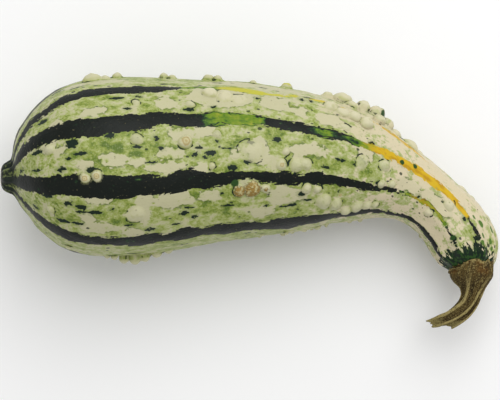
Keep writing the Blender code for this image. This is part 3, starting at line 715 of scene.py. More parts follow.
NEAR_STRIPE = (
    (2, -92, 0.6), (20, -96, 2.4), (31, -89, 2.6), (42, -98, 2.8), (60, -101, 3.2), (110, -101, 3.0),
    (160, -101, 2.0), (225, -98, 1.2),
)
HIDDEN_STRIPES = (126.0, 160.0, 196.0, 231.0)  # the angles of those that aren't seen
HIDDEN_WIDTHS = ((0, 0.5), (12, 1.9), (55, 3.6), (100, 3.1), (150, 2.2), (190, 1.2), (215, 0.8), (230, 1.6))
WANDER_ANGLE, WANDER_LENGTH = 3.0, 31.0  # how far they wander, and over what length

# How bright green and how golden a stripe is, as (along, amount) pairs.
NONE = ((0, 0),)
STRIPES = [
    (UPPER_STRIPE, ((80, 0), (84, 1), (200, 1)), ((94, 0), (100, 0.55), (110, 0.7), (120, 1), (200, 1))),
    (BROAD_STRIPE,
     ((84, 0), (96, 1), (115, 1), (119, 0.05), (134, 0.1), (139, 0.7), (145, 0.75), (149, 0.3), (154, 0.7),
      (158, 1.2), (214, 1), (217, 0)),
     ((94, 0), (104, 0.3), (116, 0.2), (118, 0), (154, 0.1), (166, 0.7), (173, 1), (213, 1), (216, 0))),
    (MIDDLE_STRIPE,
     ((178, 0), (184, 1), (212, 1.1), (219, 0.1)),
     ((184, 0), (189, 0.5), (205, 0.4), (214, 0))),
    (LOWER_STRIPE, NONE, NONE),
    (FAR_STRIPE, ((150, 0), (170, 1)), ((160, 0), (185, 1))),
    (NEAR_STRIPE, NONE, NONE),
]


def hidden_stripe(number, angle):
    """A stripe of the side that faces down, which wanders by a wave of its own."""
    waves = [WANDER_ANGLE * math.sin(a / WANDER_LENGTH + 2.0 * number) for a, _ in HIDDEN_WIDTHS]
    return [(a, angle + wave, half) for (a, half), wave in zip(HIDDEN_WIDTHS, waves)]


STRIPES += [(hidden_stripe(number, angle), NONE, NONE) for number, angle in enumerate(HIDDEN_STRIPES)]
print(len(STRIPES), "stripes")

# %% How far each point is from them
EDGE_LIMIT = 8.0
STRIPE_TAPER = 0.8  # how fast a stripe narrows past its last place


def reading(pairs):
    """The amount at each point of the fruit from a list of (along, amount) pairs."""
    return np.interp(along, *np.array(pairs, float).T)


def stripe_marks():
    """For each point: how far outside the nearest stripe's edge, and how green and golden that stripe is."""
    edge, green, gold = np.full(len(along), np.inf), np.zeros(len(along)), np.zeros(len(along))
    for path, green_pairs, gold_pairs in STRIPES:
        where, degrees, half = np.array(path, float).T
        middle = np.interp(along, where, degrees)
        aside = np.abs((np.degrees(angle) - middle + 180.0) % 360.0 - 180.0)
        distance = np.radians(aside) * across - np.interp(along, where, half)
        distance = distance + np.maximum(0.0, along - where[-1]) * STRIPE_TAPER
        nearer = distance < edge
        edge = np.where(nearer, distance, edge)
        green = np.where(nearer, reading(green_pairs), green)
        gold = np.where(nearer, reading(gold_pairs), gold)
    return np.clip(edge, -EDGE_LIMIT, EDGE_LIMIT), green, gold


stripe_edge, stripe_green, stripe_gold = stripe_marks()
print("stripes cover", round(100 * float((stripe_edge < 0).mean())), "percent of the points")

# %% [markdown]
# ## Other marks on the skin
# A few warts differ: two have tan, corky tips, one string is scabbed over, and one is yellow. They are
# lists of places again, and each becomes a number that is 1 in the middle of its spot and 0 at its rim.
# The material also needs to know what belongs to a wart, and how far off the nearest wart's rim is,
# because dark green arcs hug it: partly the skin's own pigment, partly painted shade under the rim.

# %% The marks
TAN_TIPS = ((37, -7, 1.6), (42, -6, 1.7), (82, 13, 2.6), (124, -4, 1.3), (153, -30, 1.0))
SCABS = ((105, -23, 3.4), (111, -22, 4.8), (117, -22, 1.2))
YELLOW_SPOTS = ((129, 88, 2.6),)
GREEN_CAPS = ((103, -17, 2.4), (166, 80, 1.9), (178, 26, 1.4), (184, 33, 1.5), (218, -16, 1.9))
# Where along the dark teeth at the stem start, how much this leans, and towards which angle
STEM_GREEN_START, STEM_GREEN_LEAN, STEM_GREEN_SIDE = 233.8, 6.5, -25.0
RIM_LIMIT, OVAL_LIMIT = 4.0, 6.0  # marks stop at these distances
WIDEST_WITH_ARC = 7.0  # a wider wart is a soft swelling, with no rim for an arc


def offset_from(place, degrees):
    """How far each point is from a place on the fruit, along it and round it."""
    turn = (angle - math.radians(degrees) + math.pi) % TURN - math.pi
    return along - place, turn * across


def spot_mark(spots):
    """1 in the middle of each spot, falling to 0 at its radius."""
    mark = np.zeros(len(along))
    for place, degrees, radius in spots:
        mark = np.maximum(mark, 1.0 - np.hypot(*offset_from(place, degrees)) / radius)
    return mark


def wart_marks():
    """For each point: how far inside a wart, how round that wart is, and how far off the nearest rim."""
    inside, roundness, outside = np.zeros(len(along)), np.zeros(len(along)), np.full(len(along), RIM_LIMIT)
    east = (angle - math.radians(SEAM_ANGLE)) % TURN
    for number in warts.numbers:
        distance = warts.distance(number, north, east)
        share = 1.0 - distance / warts.radius[number]
        roundness = np.where(share > inside, warts.height[number] / warts.radius[number], roundness)
        inside = np.maximum(inside, share)
        if warts.radius[number] < WIDEST_WITH_ARC:
            outside = np.minimum(outside, distance - warts.radius[number])
    return inside, roundness, np.clip(outside, -RIM_LIMIT, RIM_LIMIT)


def oval_edge(ovals):
    """How far outside the nearest oval's edge each point is, in millimetres, and below 0 inside it."""
    edge = np.full(len(along), OVAL_LIMIT)
    for place, degrees, half_length, half_width in ovals:
        step, aside = offset_from(place, degrees)
        reach = np.hypot(step, aside) + 1e-6
        edge = np.minimum(edge, reach - reach / (np.hypot(step / half_length, aside / half_width) + 1e-6))
    return edge


wart_inside, wart_roundness, wart_outside = wart_marks()
stem_green = along - STEM_GREEN_START + STEM_GREEN_LEAN * np.cos(angle - math.radians(STEM_GREEN_SIDE))
fruit_marks = {
    "straight": straightened(along, across, angle),
    "stripe_edge": stripe_edge, "stripe_green": stripe_green, "stripe_gold": stripe_gold,
    "wart_inside": wart_inside, "wart_roundness": wart_roundness, "wart_outside": wart_outside,
    "stem_green": stem_green,
    "tan_tip": spot_mark(TAN_TIPS), "scab": spot_mark(SCABS),
    "yellow_spot": spot_mark(YELLOW_SPOTS), "green_cap": spot_mark(GREEN_CAPS),
    "blot_edge": oval_edge(blots), "patch_edge": oval_edge(patches), "spot_edge": oval_edge(green_spots),
    "lush_edge": oval_edge(LUSH_PARTS), "pale_edge": oval_edge(PALE_PARTS),
    "stem_spot_edge": oval_edge(STEM_END_SPOTS),
}
fruit = solid("gourd_fruit", places, triangles, fruit_marks)
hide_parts("fruit")
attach(fruit, "root")

# %% [markdown]
# ## Shader maths in plain Python
# A skin like this takes many small sums of masks. Node by node they are hard to read, so a small class
# wraps a node's output and lets Python's own operators add the Math nodes. Colours and vectors never pass
# through a Math node, which would turn them grey: they go through Mix and Vector Math nodes instead.


# %% A wrapped output
class Wire:
    """A node's output that can be used in sums and products."""

    def __init__(self, paint, socket):
        self.paint, self.socket = paint, socket

    def __add__(self, other):
        return self.paint.math("ADD", self, other)

    def __radd__(self, other):
        return self.paint.math("ADD", other, self)

    def __sub__(self, other):
        return self.paint.math("SUBTRACT", self, other)

    def __rsub__(self, other):
        return self.paint.math("SUBTRACT", other, self)

    def __mul__(self, other):
        return self.paint.math("MULTIPLY", self, other)

    def __rmul__(self, other):
        return self.paint.math("MULTIPLY", other, self)

    def __or__(self, other):
        return self.paint.math("MAXIMUM", self, other)

    def rises(self, low, high):
        """A soft step: 0 below low, 1 above high. With low above high it falls instead."""
        sockets = {"Value": self, "From Min": min(low, high), "From Max": max(low, high)}
        if low > high:
            sockets |= {"To Min": 1.0, "To Max": 0.0}
        return self.paint.wire("ShaderNodeMapRange", {"interpolation_type": "SMOOTHSTEP"}, sockets)

    def swing(self, reach):
        """Noise, whose middle is a half, turned into a sway to both sides of 0."""
        return (self - 0.5) * reach


# %% [markdown]
# The second class is a material that builds its own nodes. Every kind of node comes from one method,
# which sets its settings before it fills its sockets. All patterns are drawn out along the fruit, as its
# growth draws out the real ones, so a pattern's size is always two numbers: how long and how wide its
# cells are in millimetres.


# %% A material that builds nodes
class Paint:
    """A material, and the short names for the nodes that its finish is made of."""

    def __init__(self, name):
        self.material = bpy.data.materials.new(name)
        self.material.use_nodes = True
        self.tree = self.material.node_tree
        self.shader = self.tree.nodes["Principled BSDF"]

    def add(self, kind, settings, sockets):
        """A node of any type: its settings first, then the values or links of its sockets."""
        node = self.tree.nodes.new(kind)
        for setting, value in settings.items():
            if setting == "stops":
                for number, (place, shade) in enumerate(value):
                    ends = node.color_ramp.elements
                    stop = ends[number] if number < 2 else ends.new(place)
                    stop.position, stop.color = place, shade
            else:
                setattr(node, setting, value)
        for key, value in sockets.items():
            if isinstance(value, Wire):
                self.tree.links.new(value.socket, node.inputs[key])
            else:
                node.inputs[key].default_value = value
        return node

    def wire(self, kind, settings, sockets, output=0):
        return Wire(self, self.add(kind, settings, sockets).outputs[output])

    def math(self, operation, *values):
        return self.wire("ShaderNodeMath", {"operation": operation}, dict(enumerate(values)))

    def mark(self, name, vector=False):
        """A number, or a vector, that the mesh holds on its points."""
        return self.wire("ShaderNodeAttribute", {"attribute_name": name}, {}, 1 if vector else 2)

    def first(self, vector):
        """The first number of a vector."""
        return self.wire("ShaderNodeSeparateXYZ", {}, {0: vector})

    def stretched(self, vector, long, wide):
        """The vector divided by a size each way, so that a pattern's cells get that size in millimetres."""
        shrink = (1.0 / long, 1.0 / wide, 1.0 / wide)
        return self.wire("ShaderNodeVectorMath", {"operation": "MULTIPLY"}, {0: vector, 1: shrink})

    def clouds(self, vector, long, wide, detail=2.0, colour=False):
        """Smooth noise between 0 and 1 with an average of a half, or its colour to push a vector with."""
        sockets = {"Vector": self.stretched(vector, long, wide), "Scale": 1.0, "Detail": detail}
        return self.wire("ShaderNodeTexNoise", {}, sockets, 1 if colour else 0)

    def pushed(self, vector, push, reach):
        """The vector pushed about by a noise colour, so that what is drawn with it isn't too perfect."""
        centred = self.wire("ShaderNodeVectorMath", {"operation": "SUBTRACT"}, {0: push, 1: (0.5, 0.5, 0.5)})
        scaled = self.wire("ShaderNodeVectorMath", {"operation": "SCALE"}, {0: centred, "Scale": reach})
        return self.wire("ShaderNodeVectorMath", {"operation": "ADD"}, {0: vector, 1: scaled})

    def cells(self, vector, long, wide):
        """Scattered cells: the distance to the nearest middle, and a number of its own for each cell."""
        sockets = {"Vector": self.stretched(vector, long, wide), "Scale": 1.0}
        node = self.add("ShaderNodeTexVoronoi", {}, sockets)
        number = self.wire("ShaderNodeSeparateColor", {}, {"Color": Wire(self, node.outputs["Color"])})
        return Wire(self, node.outputs["Distance"]), number

    def ramp(self, stops, factor):
        """A colour from a row of (place, colour) stops."""
        return self.wire("ShaderNodeValToRGB", {"stops": stops}, {0: factor})

    def blend(self, factor, first, second):
        """Two colours, or links to colours, mixed by a factor."""
        return self.wire("ShaderNodeMix", {"data_type": "RGBA"}, {0: factor, 6: first, 7: second}, 2)

    def layers(self, under, *coats):
        """Coats of (how much, colour) painted over a colour, one after the other."""
        for amount, shade in coats:
            under = self.blend(amount, under, shade)
        return under

    def feed(self, **sockets):
        """Values or links for the shader's own sockets, with _ for a space."""
        for name, value in sockets.items():
            socket = self.shader.inputs[name.replace("_", " ")]
            if isinstance(value, Wire):
                self.tree.links.new(value.socket, socket)
            else:
                socket.default_value = value

    def bump(self, height, depth):
        """The surface tilted by a height that is given in parts of a depth in millimetres."""
        return self.wire("ShaderNodeBump", {}, {"Height": height, "Distance": depth * MM})


rind = Paint("rind")
print("the rind's material starts with", len(rind.tree.nodes), "nodes")

# %% Colours as they show under the light
LIGHT_ON_TOP = 1.3  # how much light the side that faces up gets, where 1 shows a colour as it is


def colour(red, green, blue):
    """A finish that shows on top as this colour of 0 to 255, in the linear values that a shader takes."""
    parts = [v / 255.0 for v in (red, green, blue)]
    linear = [v / 12.92 if v <= 0.04045 else ((v + 0.055) / 1.055) ** 2.4 for v in parts]
    return (*[v / LIGHT_ON_TOP for v in linear], 1.0)


print("a colour in the values that a shader takes:", [round(v, 3) for v in colour(207, 204, 162)])

# %% [markdown]
# ## The rind
# The rind's colours are made in layers, from the ground up: a ground between cream and leaf green, dark
# blots, the stripes, the warts and what grows on them, and the two dark ends. Each layer is a factor and
# a colour. No edge on the real skin is clean, so noise of several sizes sways every edge before it is
# drawn.

# %% The rind's colours
CREAM, PATCH_CREAM, NECK_CREAM = colour(207, 204, 162), colour(216, 211, 172), colour(236, 222, 186)
GROUND = (
    (0.14, colour(206, 203, 158)), (0.32, colour(198, 202, 144)), (0.46, colour(184, 194, 122)),
    (0.60, colour(166, 178, 92)), (0.78, colour(140, 158, 64)), (1.0, colour(98, 124, 40)),
)
STRIPE_COLOURS = (
    (0.20, colour(22, 28, 23)), (0.34, colour(30, 58, 34)), (0.48, colour(78, 116, 38)),
    (0.62, colour(112, 146, 38)), (0.78, colour(134, 158, 42)), (0.95, colour(160, 168, 56)),
)
DEEP_LEAF, PALE_LEAF = colour(120, 140, 68), colour(212, 214, 168)
NUB_DARK, DARK_GREEN, SPECK = colour(38, 46, 38), colour(26, 44, 30), colour(70, 76, 62)
LEMON, GOLD, DEEP_GOLD = colour(206, 202, 66), colour(232, 192, 38), colour(204, 158, 32)
PEARL, NECK_PEARL = colour(219, 216, 176), colour(230, 224, 187)
# A darker green for the warts' feet, partly a tint and partly painted shade of the crease where a wart meets
# the skin; it also gives a few random green patches on the warts
FOOT_GREEN_AND_SHADE = colour(186, 190, 118)
TAN, PALE_TAN, SCAB = colour(190, 166, 104), colour(214, 204, 150), colour(168, 138, 72)
STREAK_GREEN, SPOT_GREEN, TOOTH_GREEN = colour(118, 130, 78), colour(96, 132, 56), colour(50, 84, 36)
COLLAR, OUTLINE = colour(96, 82, 50), colour(98, 118, 54)

# Between which places along the fruit things change
BELLY_GREENS, NUB_STREAKS, STEM_STREAKS = (80.0, 20.0), (52.0, 18.0), (190.0, 225.0)
NECK_PALES, LEMON_TO_GOLD = (112.0, 185.0), (165.0, 125.0)
NUB_STARTS, COLLAR_STARTS = (9.0, 6.5), (235.9, 236.3)
SHARP = (0.14, -0.14)  # the width of a crisp edge, in millimetres

# %% The noise that sways the edges
straight = rind.mark("straight", vector=True)
length = rind.first(straight)
medium = rind.clouds(straight, 6.5, 4.2)
small = rind.clouds(straight, 2.8, 1.9)
fine = rind.clouds(straight, 1.3, 1.0, 3.0)
grain = rind.clouds(straight, 0.6, 0.5)
streak = rind.clouds(straight, 9.0, 1.1, 3.0)
jag = rind.clouds(straight, 7.0, 1.6, 3.0)
push = rind.clouds(straight, 5.0, 3.0, 3.0, colour=True)
print("nodes for the noise:", len(rind.tree.nodes))

# %% [markdown]
# One number, how green the ground is, holds most of the mottling. Noise of three sizes moves it up and
# down, cells give it a few crisp steps, patches lower it and spots raise it. A ramp turns it into cream,
# pale green and leaf green. Near the ends the mottling turns into long streaks, and towards the neck
# cream wins.

# %% The ground
neck = length.rises(*NECK_PALES)
pale = rind.mark("pale_edge").rises(4.0, -5.0)
lush = rind.mark("lush_edge").rises(5.0, -5.0) - pale * 1.3
patch_edge = rind.mark("patch_edge") + medium.swing(6.0) + small.swing(3.5) + fine.swing(1.6)
patch = patch_edge.rises(0.8, -0.4)
spot = (rind.mark("spot_edge") + small.swing(5.0)).rises(1.2, -0.8)
_, cell_number = rind.cells(rind.pushed(straight, push, 4.0), 7.0, 4.0)
streaky = length.rises(*NUB_STREAKS) * 1.3 + length.rises(*STEM_STREAKS) * 0.8
greenness = 0.50 - length.rises(*BELLY_GREENS) * 0.07 - neck * 0.24
greenness = greenness + lush * 0.16 + spot * 0.24 - patch * 0.42
greenness = greenness + medium.swing(1.3) + small.swing(1.0) + fine.swing(0.9) + cell_number.swing(0.26)
greenness = greenness + streak.swing(streaky)
rim = patch_edge.rises(-0.2, 0.2) * patch_edge.rises(0.9, 0.4) * medium.rises(0.46, 0.56)
ground = rind.layers(
    rind.ramp(GROUND, greenness),
    (greenness.rises(0.36, 0.14), rind.blend(neck, CREAM, NECK_CREAM)),
    (patch * greenness.rises(0.6, 0.3) * 0.5, PATCH_CREAM),
    (grain.rises(0.5, 0.75) * 0.42, PALE_LEAF),
    (grain.rises(0.48, 0.28) * greenness.rises(0.1, 0.6) * 0.42, DEEP_LEAF),
    (rim * 0.75, OUTLINE),
)
print("nodes up to the ground:", len(rind.tree.nodes))

# %% [markdown]
# The dark marks come next. The blots' ovals get ragged edges, and small random dots join them. A stripe's
# edge is swayed by long jags and cut into steps by long cells, as on the real skin. Inside it a second
# ramp goes from black green to lime, with tiny pale specks on the dark part, and gold is laid over where
# the stripe's list says so.

# %% Blots and stripes
blot_edge = rind.mark("blot_edge") + fine.swing(3.4) + small.swing(2.2)
dot, dot_number = rind.cells(rind.pushed(straight, push, 1.5), 4.6, 3.0)
dots = (dot - (dot_number - 0.6) * 0.5 + fine.swing(0.25)).rises(0.05, 0.0)
_, step_number = rind.cells(straight, 5.0, 1.5)
edge = rind.mark("stripe_edge") + step_number.swing(1.1) + jag.swing(3.0) + fine.swing(2.0)
stripe = edge.rises(*SHARP)
green = rind.mark("stripe_green") * 0.75 + medium.swing(0.9) + small.swing(0.8) + fine.swing(0.5)
green = green - edge.rises(-1.1, -0.3) * medium.rises(0.42, 0.5) * 0.5
gold = (rind.mark("stripe_gold") + jag.swing(0.9)).rises(0.25, 0.75)
golden = rind.layers(GOLD, (jag.rises(0.42, 0.66), DEEP_GOLD), (length.rises(*LEMON_TO_GOLD), LEMON))
stripe_colour = rind.layers(
    rind.ramp(STRIPE_COLOURS, green),
    (grain.rises(0.62, 0.85) * green.rises(0.4, 0.2) * 0.35, SPECK),
    (gold, golden),
)
striped = rind.layers(
    ground,
    (blot_edge.rises(1.5, 0.1) * 0.4, DEEP_LEAF),
    (blot_edge.rises(*SHARP), DARK_GREEN),
    (dots * 0.85, DARK_GREEN),
    (stripe, stripe_colour),
)
print("nodes up to the stripes:", len(rind.tree.nodes))

# %% [markdown]
# Warts are cream on their crowns and darker green at their feet: partly a tint, partly painted shade of the
# crease where they meet the skin. The flat ones let some of the skin's pattern through, with a ragged rim,
# and the round ones hide it. Dark green arcs lie close to some of them, partly pigment and partly painted
# shade under the rim. The tan tips have rings like a cork's, and a scab is a patch of rough, dry tan.

# %% Warts
inside = rind.mark("wart_inside")
roundness = rind.mark("wart_roundness").rises(0.1, 0.75)
wart = (inside + small.swing(0.6) * (1.0 - roundness)).rises(0.0, 0.1)
wart = wart * (0.45 + roundness * 0.55) * inside.rises(0.0, 0.06)
# Darker green towards each wart's rim: partly a tint, partly painted shade of the crease at its foot
foot_tint_and_shade = inside.rises(0.42, 0.02) * (0.3 + medium.rises(0.45, 0.65) * 0.6)
pearl = rind.layers(
    rind.blend(pale, PEARL, NECK_PEARL),
    (foot_tint_and_shade, FOOT_GREEN_AND_SHADE),
    (small.rises(0.56, 0.7) * 0.4, FOOT_GREEN_AND_SHADE),
)
outside = rind.mark("wart_outside") + fine.swing(0.5)
# Dark green arcs just outside a wart's rim: partly pigment, partly painted shade of the undercut under the
# rim
arc_pigment_and_shade = outside.rises(-0.15, 0.0) * (outside + small.swing(2.4)).rises(0.6, 0.3) * medium.rises(0.54, 0.58)
tan_tip = rind.mark("tan_tip") + fine.swing(0.5)
rings = rind.math("SINE", tan_tip * 12.0).rises(-0.5, 0.7)
green_cap = (rind.mark("green_cap") + fine.swing(0.5)).rises(0.12, 0.4)
scab = (rind.mark("scab") + fine.swing(0.9)).rises(0.16, 0.34)
warty = rind.layers(
    striped,
    (wart, pearl),
    (arc_pigment_and_shade, DARK_GREEN),
    (tan_tip.rises(0.05, 0.45) * 0.8, rind.blend(rings, TAN, PALE_TAN)),
    (green_cap, TOOTH_GREEN),
    (rind.mark("yellow_spot").rises(0.05, 0.4), LEMON),
    (scab, rind.blend(fine.rises(0.46, 0.66), SCAB, PALE_TAN)),
)
print("nodes up to the warts:", len(rind.tree.nodes))

# %% [markdown]
# At the blossom end all stripes run together into a dark nub. At the stem end dark green teeth reach out
# over the cream, with small green spots before them, and a thin woody collar shows at the very edge. The
# rind is smooth and faintly waxed, so its gloss is low and even, and only the scabs are rough.

# %% The two ends, and the rind's finish
nub = (length + streak.swing(9.0)).rises(*NUB_STARTS)
nub_colour = rind.blend(edge.rises(-0.4, 0.3) * streak.rises(0.42, 0.56), NUB_DARK, STREAK_GREEN)
stem_spot = (rind.mark("stem_spot_edge") + fine.swing(0.8)).rises(0.15, -0.15)
teeth = (rind.mark("stem_green") + streak.swing(22.0) + small.swing(7.0)).rises(-0.3, 0.6)
collar = (length + streak.swing(3.0) + fine.swing(1.2)).rises(*COLLAR_STARTS)
skin_colour = rind.layers(
    warty,
    (nub, nub_colour),
    (stem_spot, SPOT_GREEN),
    (teeth, rind.blend(streak.rises(0.44, 0.54), TOOTH_GREEN, DARK_GREEN)),
    (collar, rind.blend(grain.rises(0.45, 0.6), COLLAR, TAN)),
)
relief = patch * 0.25 + fine * 0.45 + grain * 0.12 + scab * fine * 3.0 - stripe * 0.15
rind.feed(
    Base_Color=skin_colour, Specular_IOR_Level=0.16,
    Roughness=0.42 + scab * 0.4 + fine.swing(0.14), Normal=rind.bump(relief, 0.35),
)
fruit.data.materials.append(rind.material)
print("rind nodes:", len(rind.tree.nodes))

# %% [markdown]
# ## The stem
# The stem is dead, woody and fibrous. It clasps the fruit with five lobes, narrows at once, and five
# strong ridges with weak ones between them wind round it to the slanting cut, where each ridge ends in a
# splintered tip. It is a tube swept along a line of its own. Each lengthwise column of its points has its
# own length, which gives the slanted and frayed end without any cutting.

# %% The stem's measures
STEM_GAP = 0.35
STEM_LINE = (
    (0.5, 0.0, 0.0), (0.7, -4.8, 1.2), (0.5, -9.1, 1.9), (-0.6, -13.3, 2.2), (-2.8, -17.0, 2.1),
    (-6.1, -20.2, 1.7), (-10.0, -22.8, 1.0), (-14.1, -24.8, 0.1), (-18.2, -26.6, -0.8),
    (-22.2, -28.1, -1.7),
)
STEM_OUTLINE = (
    (-2.4, 11.1), (-1.6, 10.9), (-0.8, 10.3), (0.0, 9.8), (0.9, 9.6), (3.2, 9.3), (5.4, 8.0), (7.3, 6.3),
    (8.9, 5.1), (10.9, 4.3), (13.5, 3.8), (16.4, 3.7), (20.0, 3.7), (25.0, 3.7), (30.0, 3.6), (36.0, 3.3),
    (42.0, 3.0),
)
STEM_STATIONS, STEM_COLUMNS = 150, 200
STEM_RIDGES, RIDGE_HEIGHT, RIDGE_MIDDLE = 5, 1.3, 0.4  # the middle is the height that stays on the outline
STRONG_SHARPNESS, WEAK_SHARPNESS, WEAK_SHARE = 1.6, 5, 0.4
LOBE_HEIGHT, LOBE_REACH = 1.0, 5.0
COLLAR_BACK, LOBE_BACK = 0.4, 1.5  # how far the collar and its lobes reach back over the fruit's end
LINE_BEFORE = 3.0  # how far before the stem's foot its middle line starts
STEM_TWIST = math.radians(-75.0)  # over the whole length
STEM_LENGTH, CUT_SLANT, CUT_BLUNTNESS, FRAY = 31.4, 5.0, 1.8, 2.4
CUT_SIDE = math.radians(-75.0)  # the side of the stem that reaches furthest
CUT_RINGS = ((0.9, 0.5), (0.74, 0.9), (0.55, 0.6), (0.4, 0.5), (0.2, 0.9))  # how far out, how deep
HEART_DEPTH = 1.1
CUT_LUMPS = (1.1, 0.35)
FIBRES, FIBRE_HEIGHT, FIBRE_SWAY = 34, 0.16, 2.5
SPLINTERS = 1.3  # how much the single fibres stand out against the even ones
EVEN_RADIUS = 5.0  # of the straight, even rod that the fibres and the finish are drawn on


def ridge(turn):
    """The stem's crests: five strong ones and a weak one between each two, from 0 to 1."""
    strong = (0.5 + 0.5 * np.cos(STEM_RIDGES * turn)) ** STRONG_SHARPNESS
    weak = (0.5 - 0.5 * np.cos(STEM_RIDGES * turn)) ** WEAK_SHARPNESS
    return strong + WEAK_SHARE * weak


print("the stem's crests stand up to", RIDGE_HEIGHT * (1.0 - RIDGE_MIDDLE), "mm over its outline")

# %% The stem's sides
fruit_end, way, _ = spine.frame(np.array(skin.along[-1]), np.array(0.0))
stem_foot = fruit_end + way * STEM_GAP
line_places = [stem_foot - way * LINE_BEFORE, stem_foot + np.array(STEM_LINE)]
stem_spine = Spine(curve_through(np.vstack(line_places)))
columns = TURN * np.arange(STEM_COLUMNS) / STEM_COLUMNS
slant = CUT_SLANT * np.tanh(CUT_BLUNTNESS * np.cos(columns - CUT_SIDE))
reach = STEM_LENGTH + slant + FRAY * (ridge(columns - STEM_TWIST) - 0.5)
back = COLLAR_BACK + LOBE_BACK * np.abs(np.cos(0.5 * STEM_RIDGES * columns))
share = np.linspace(0.0, 1.0, STEM_STATIONS)[:, None]
stem_along = (0.6 * share + 0.4 * share ** 2) * (reach + back) - back  # closer stations near the fruit
turned = np.broadcast_to(columns, stem_along.shape)
untwisted = turned - STEM_TWIST * share
crest = ridge(untwisted)
rod = [stem_along + back, EVEN_RADIUS * np.cos(untwisted), EVEN_RADIUS * np.sin(untwisted)]
rod = np.stack(rod, axis=-1)
fibre = np.cos(FIBRES * untwisted + FIBRE_SWAY * wander(rod * (0.5, 1.0, 1.0), 3.0))
fibre = fibre + SPLINTERS * wander(rod * (0.12, 1.0, 1.0), 0.5)
grip = np.exp(-((stem_along / LOBE_REACH) ** 2))
rise = (RIDGE_HEIGHT * (1.0 - grip) + LOBE_HEIGHT * grip) * (crest - RIDGE_MIDDLE)
rise = (rise + FIBRE_HEIGHT * fibre) * np.clip((stem_along + back) / 2.0, 0.0, 1.0)
middle, _, out = stem_spine.frame(stem_along + LINE_BEFORE, turned)
tube = middle + out * (np.interp(stem_along, *curve_through(STEM_OUTLINE).T) + rise)[..., None]
print("the stem's columns are", round(reach.min(), 1), "to", round(reach.max(), 1), "mm long")


# %% The cut end, and the stem as one solid
def tube_faces(rows, count):
    """Squares between rings of points, and a fan at each end to the last two points."""
    faces = []
    for i in range(count):
        j = (i + 1) % count
        for low in range(0, (rows - 1) * count, count):
            faces.append((low + i, low + j, low + count + j, low + count + i))
        last = (rows - 1) * count
        faces += [(last + i, last + j, rows * count), (j, i, rows * count + 1)]
    return faces


cut_rim = tube[-1]
heart = cut_rim.mean(axis=0)
inwards = -stem_spine.frame(np.array(STEM_LENGTH + LINE_BEFORE), np.array(0.0))[1]
stem_rings = list(tube)
for share_out, deep in CUT_RINGS:
    flat = heart + (cut_rim - heart) * share_out
    stem_rings.append(flat + inwards * (deep + CUT_LUMPS[1] * wander(flat, CUT_LUMPS[0]))[:, None])
stem_places = np.vstack([*stem_rings, heart + inwards * HEART_DEPTH, stem_foot])
spare = len(stem_places) - tube.shape[0] * tube.shape[1]
on_cut = np.append(np.ones(spare - 1), 0.0)  # the last point is the hidden foot
stem_marks = {
    "straight": np.vstack([rod.reshape(-1, 3), stem_places[-spare:]]),
    "crest": np.append(crest.ravel(), np.zeros(spare)),
    "cut_face": np.append(np.zeros(crest.size), on_cut),
    "end_share": np.append((stem_along / reach).ravel(), on_cut),
}
stem = solid("gourd_stem", stem_places, tube_faces(len(stem_rings), STEM_COLUMNS), stem_marks)
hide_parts("stem")
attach(stem, "root")

# %% [markdown]
# ## The stem's finish
# Dead stem tissue is grey brown, with painted shade darkening its grooves. Its crests are straw coloured:
# partly the dead wood's own paler colour, partly a painted highlight. Long fibres run with the ridges, so
# the noise is drawn out along them. The cut end is paler and full of pores.

# %% The stem's material
# A dark brown for fibres and specks that also serves as painted shade in the grooves, and a straw colour for
# specks and the foot's rim that also serves as a painted highlight on the crests
DARK_FIBRE_AND_GROOVE_SHADE, BROWN, OCHRE = colour(46, 36, 17), colour(86, 70, 36), colour(108, 90, 48)
STRAW_AND_CREST_HIGHLIGHT, CUT_STRAW, PORE = colour(178, 162, 104), colour(158, 146, 92), colour(74, 62, 34)
RUST = colour(108, 76, 32)


def dead_wood():
    """The stem's material: painted shade in the grooves, straw crests that are partly painted highlight, and
    a porous cut.
    """
    wood = Paint("stem")
    straight = wood.mark("straight", vector=True)
    length = wood.first(straight)
    fibres = wood.clouds(straight, 9.0, 0.45, 4.0)
    wide_fibres = wood.clouds(straight, 12.0, 1.4)
    specks = wood.clouds(straight, 0.55, 0.4, 3.0)
    stains = wood.clouds(straight, 5.0, 3.0)
    crest = wood.mark("crest") + fibres.swing(0.5) + wide_fibres.swing(1.1) + length.rises(14.0, 32.0) * 0.12
    # Straw on the crests: partly the dead wood's paler colour, partly a painted highlight
    crest_straw_and_highlight = crest.rises(0.66, 0.80) * length.rises(4.0, 13.0)
    foot_rim = (length + fibres.swing(2.0)).rises(1.2, 0.6) * specks.rises(0.4, 0.5)
    end = wood.mark("end_share") + fibres.swing(0.12)
    cut = wood.mark("cut_face").rises(0.2, 0.8) | end.rises(0.82, 0.9) * 0.8
    wood_colour = wood.layers(
        wood.blend(wide_fibres.rises(0.38, 0.62), BROWN, OCHRE),
        (fibres.rises(0.5, 0.36) * 0.8, DARK_FIBRE_AND_GROOVE_SHADE),
        (stains.rises(0.5, 0.68) * length.rises(14.0, 4.0) * 0.8, RUST),
        # Painted shade: the grooves between the crests are darkened
        (crest.rises(0.45, 0.1) * length.rises(4.0, 12.0) * 0.7, DARK_FIBRE_AND_GROOVE_SHADE),
        (crest_straw_and_highlight, STRAW_AND_CREST_HIGHLIGHT),
        (specks.rises(0.55, 0.64) * 0.6, STRAW_AND_CREST_HIGHLIGHT),
        (specks.rises(0.46, 0.36) * 0.7, DARK_FIBRE_AND_GROOVE_SHADE),
        (foot_rim * 0.6, STRAW_AND_CREST_HIGHLIGHT),
        (cut, wood.blend(specks.rises(0.36, 0.46), PORE, CUT_STRAW)),
    )
    wood.feed(
        Base_Color=wood_colour, Specular_IOR_Level=0.2,
        Roughness=0.9 - crest_straw_and_highlight * 0.15, Normal=wood.bump(fibres + specks * 0.6, 0.5),
    )
    return wood.material


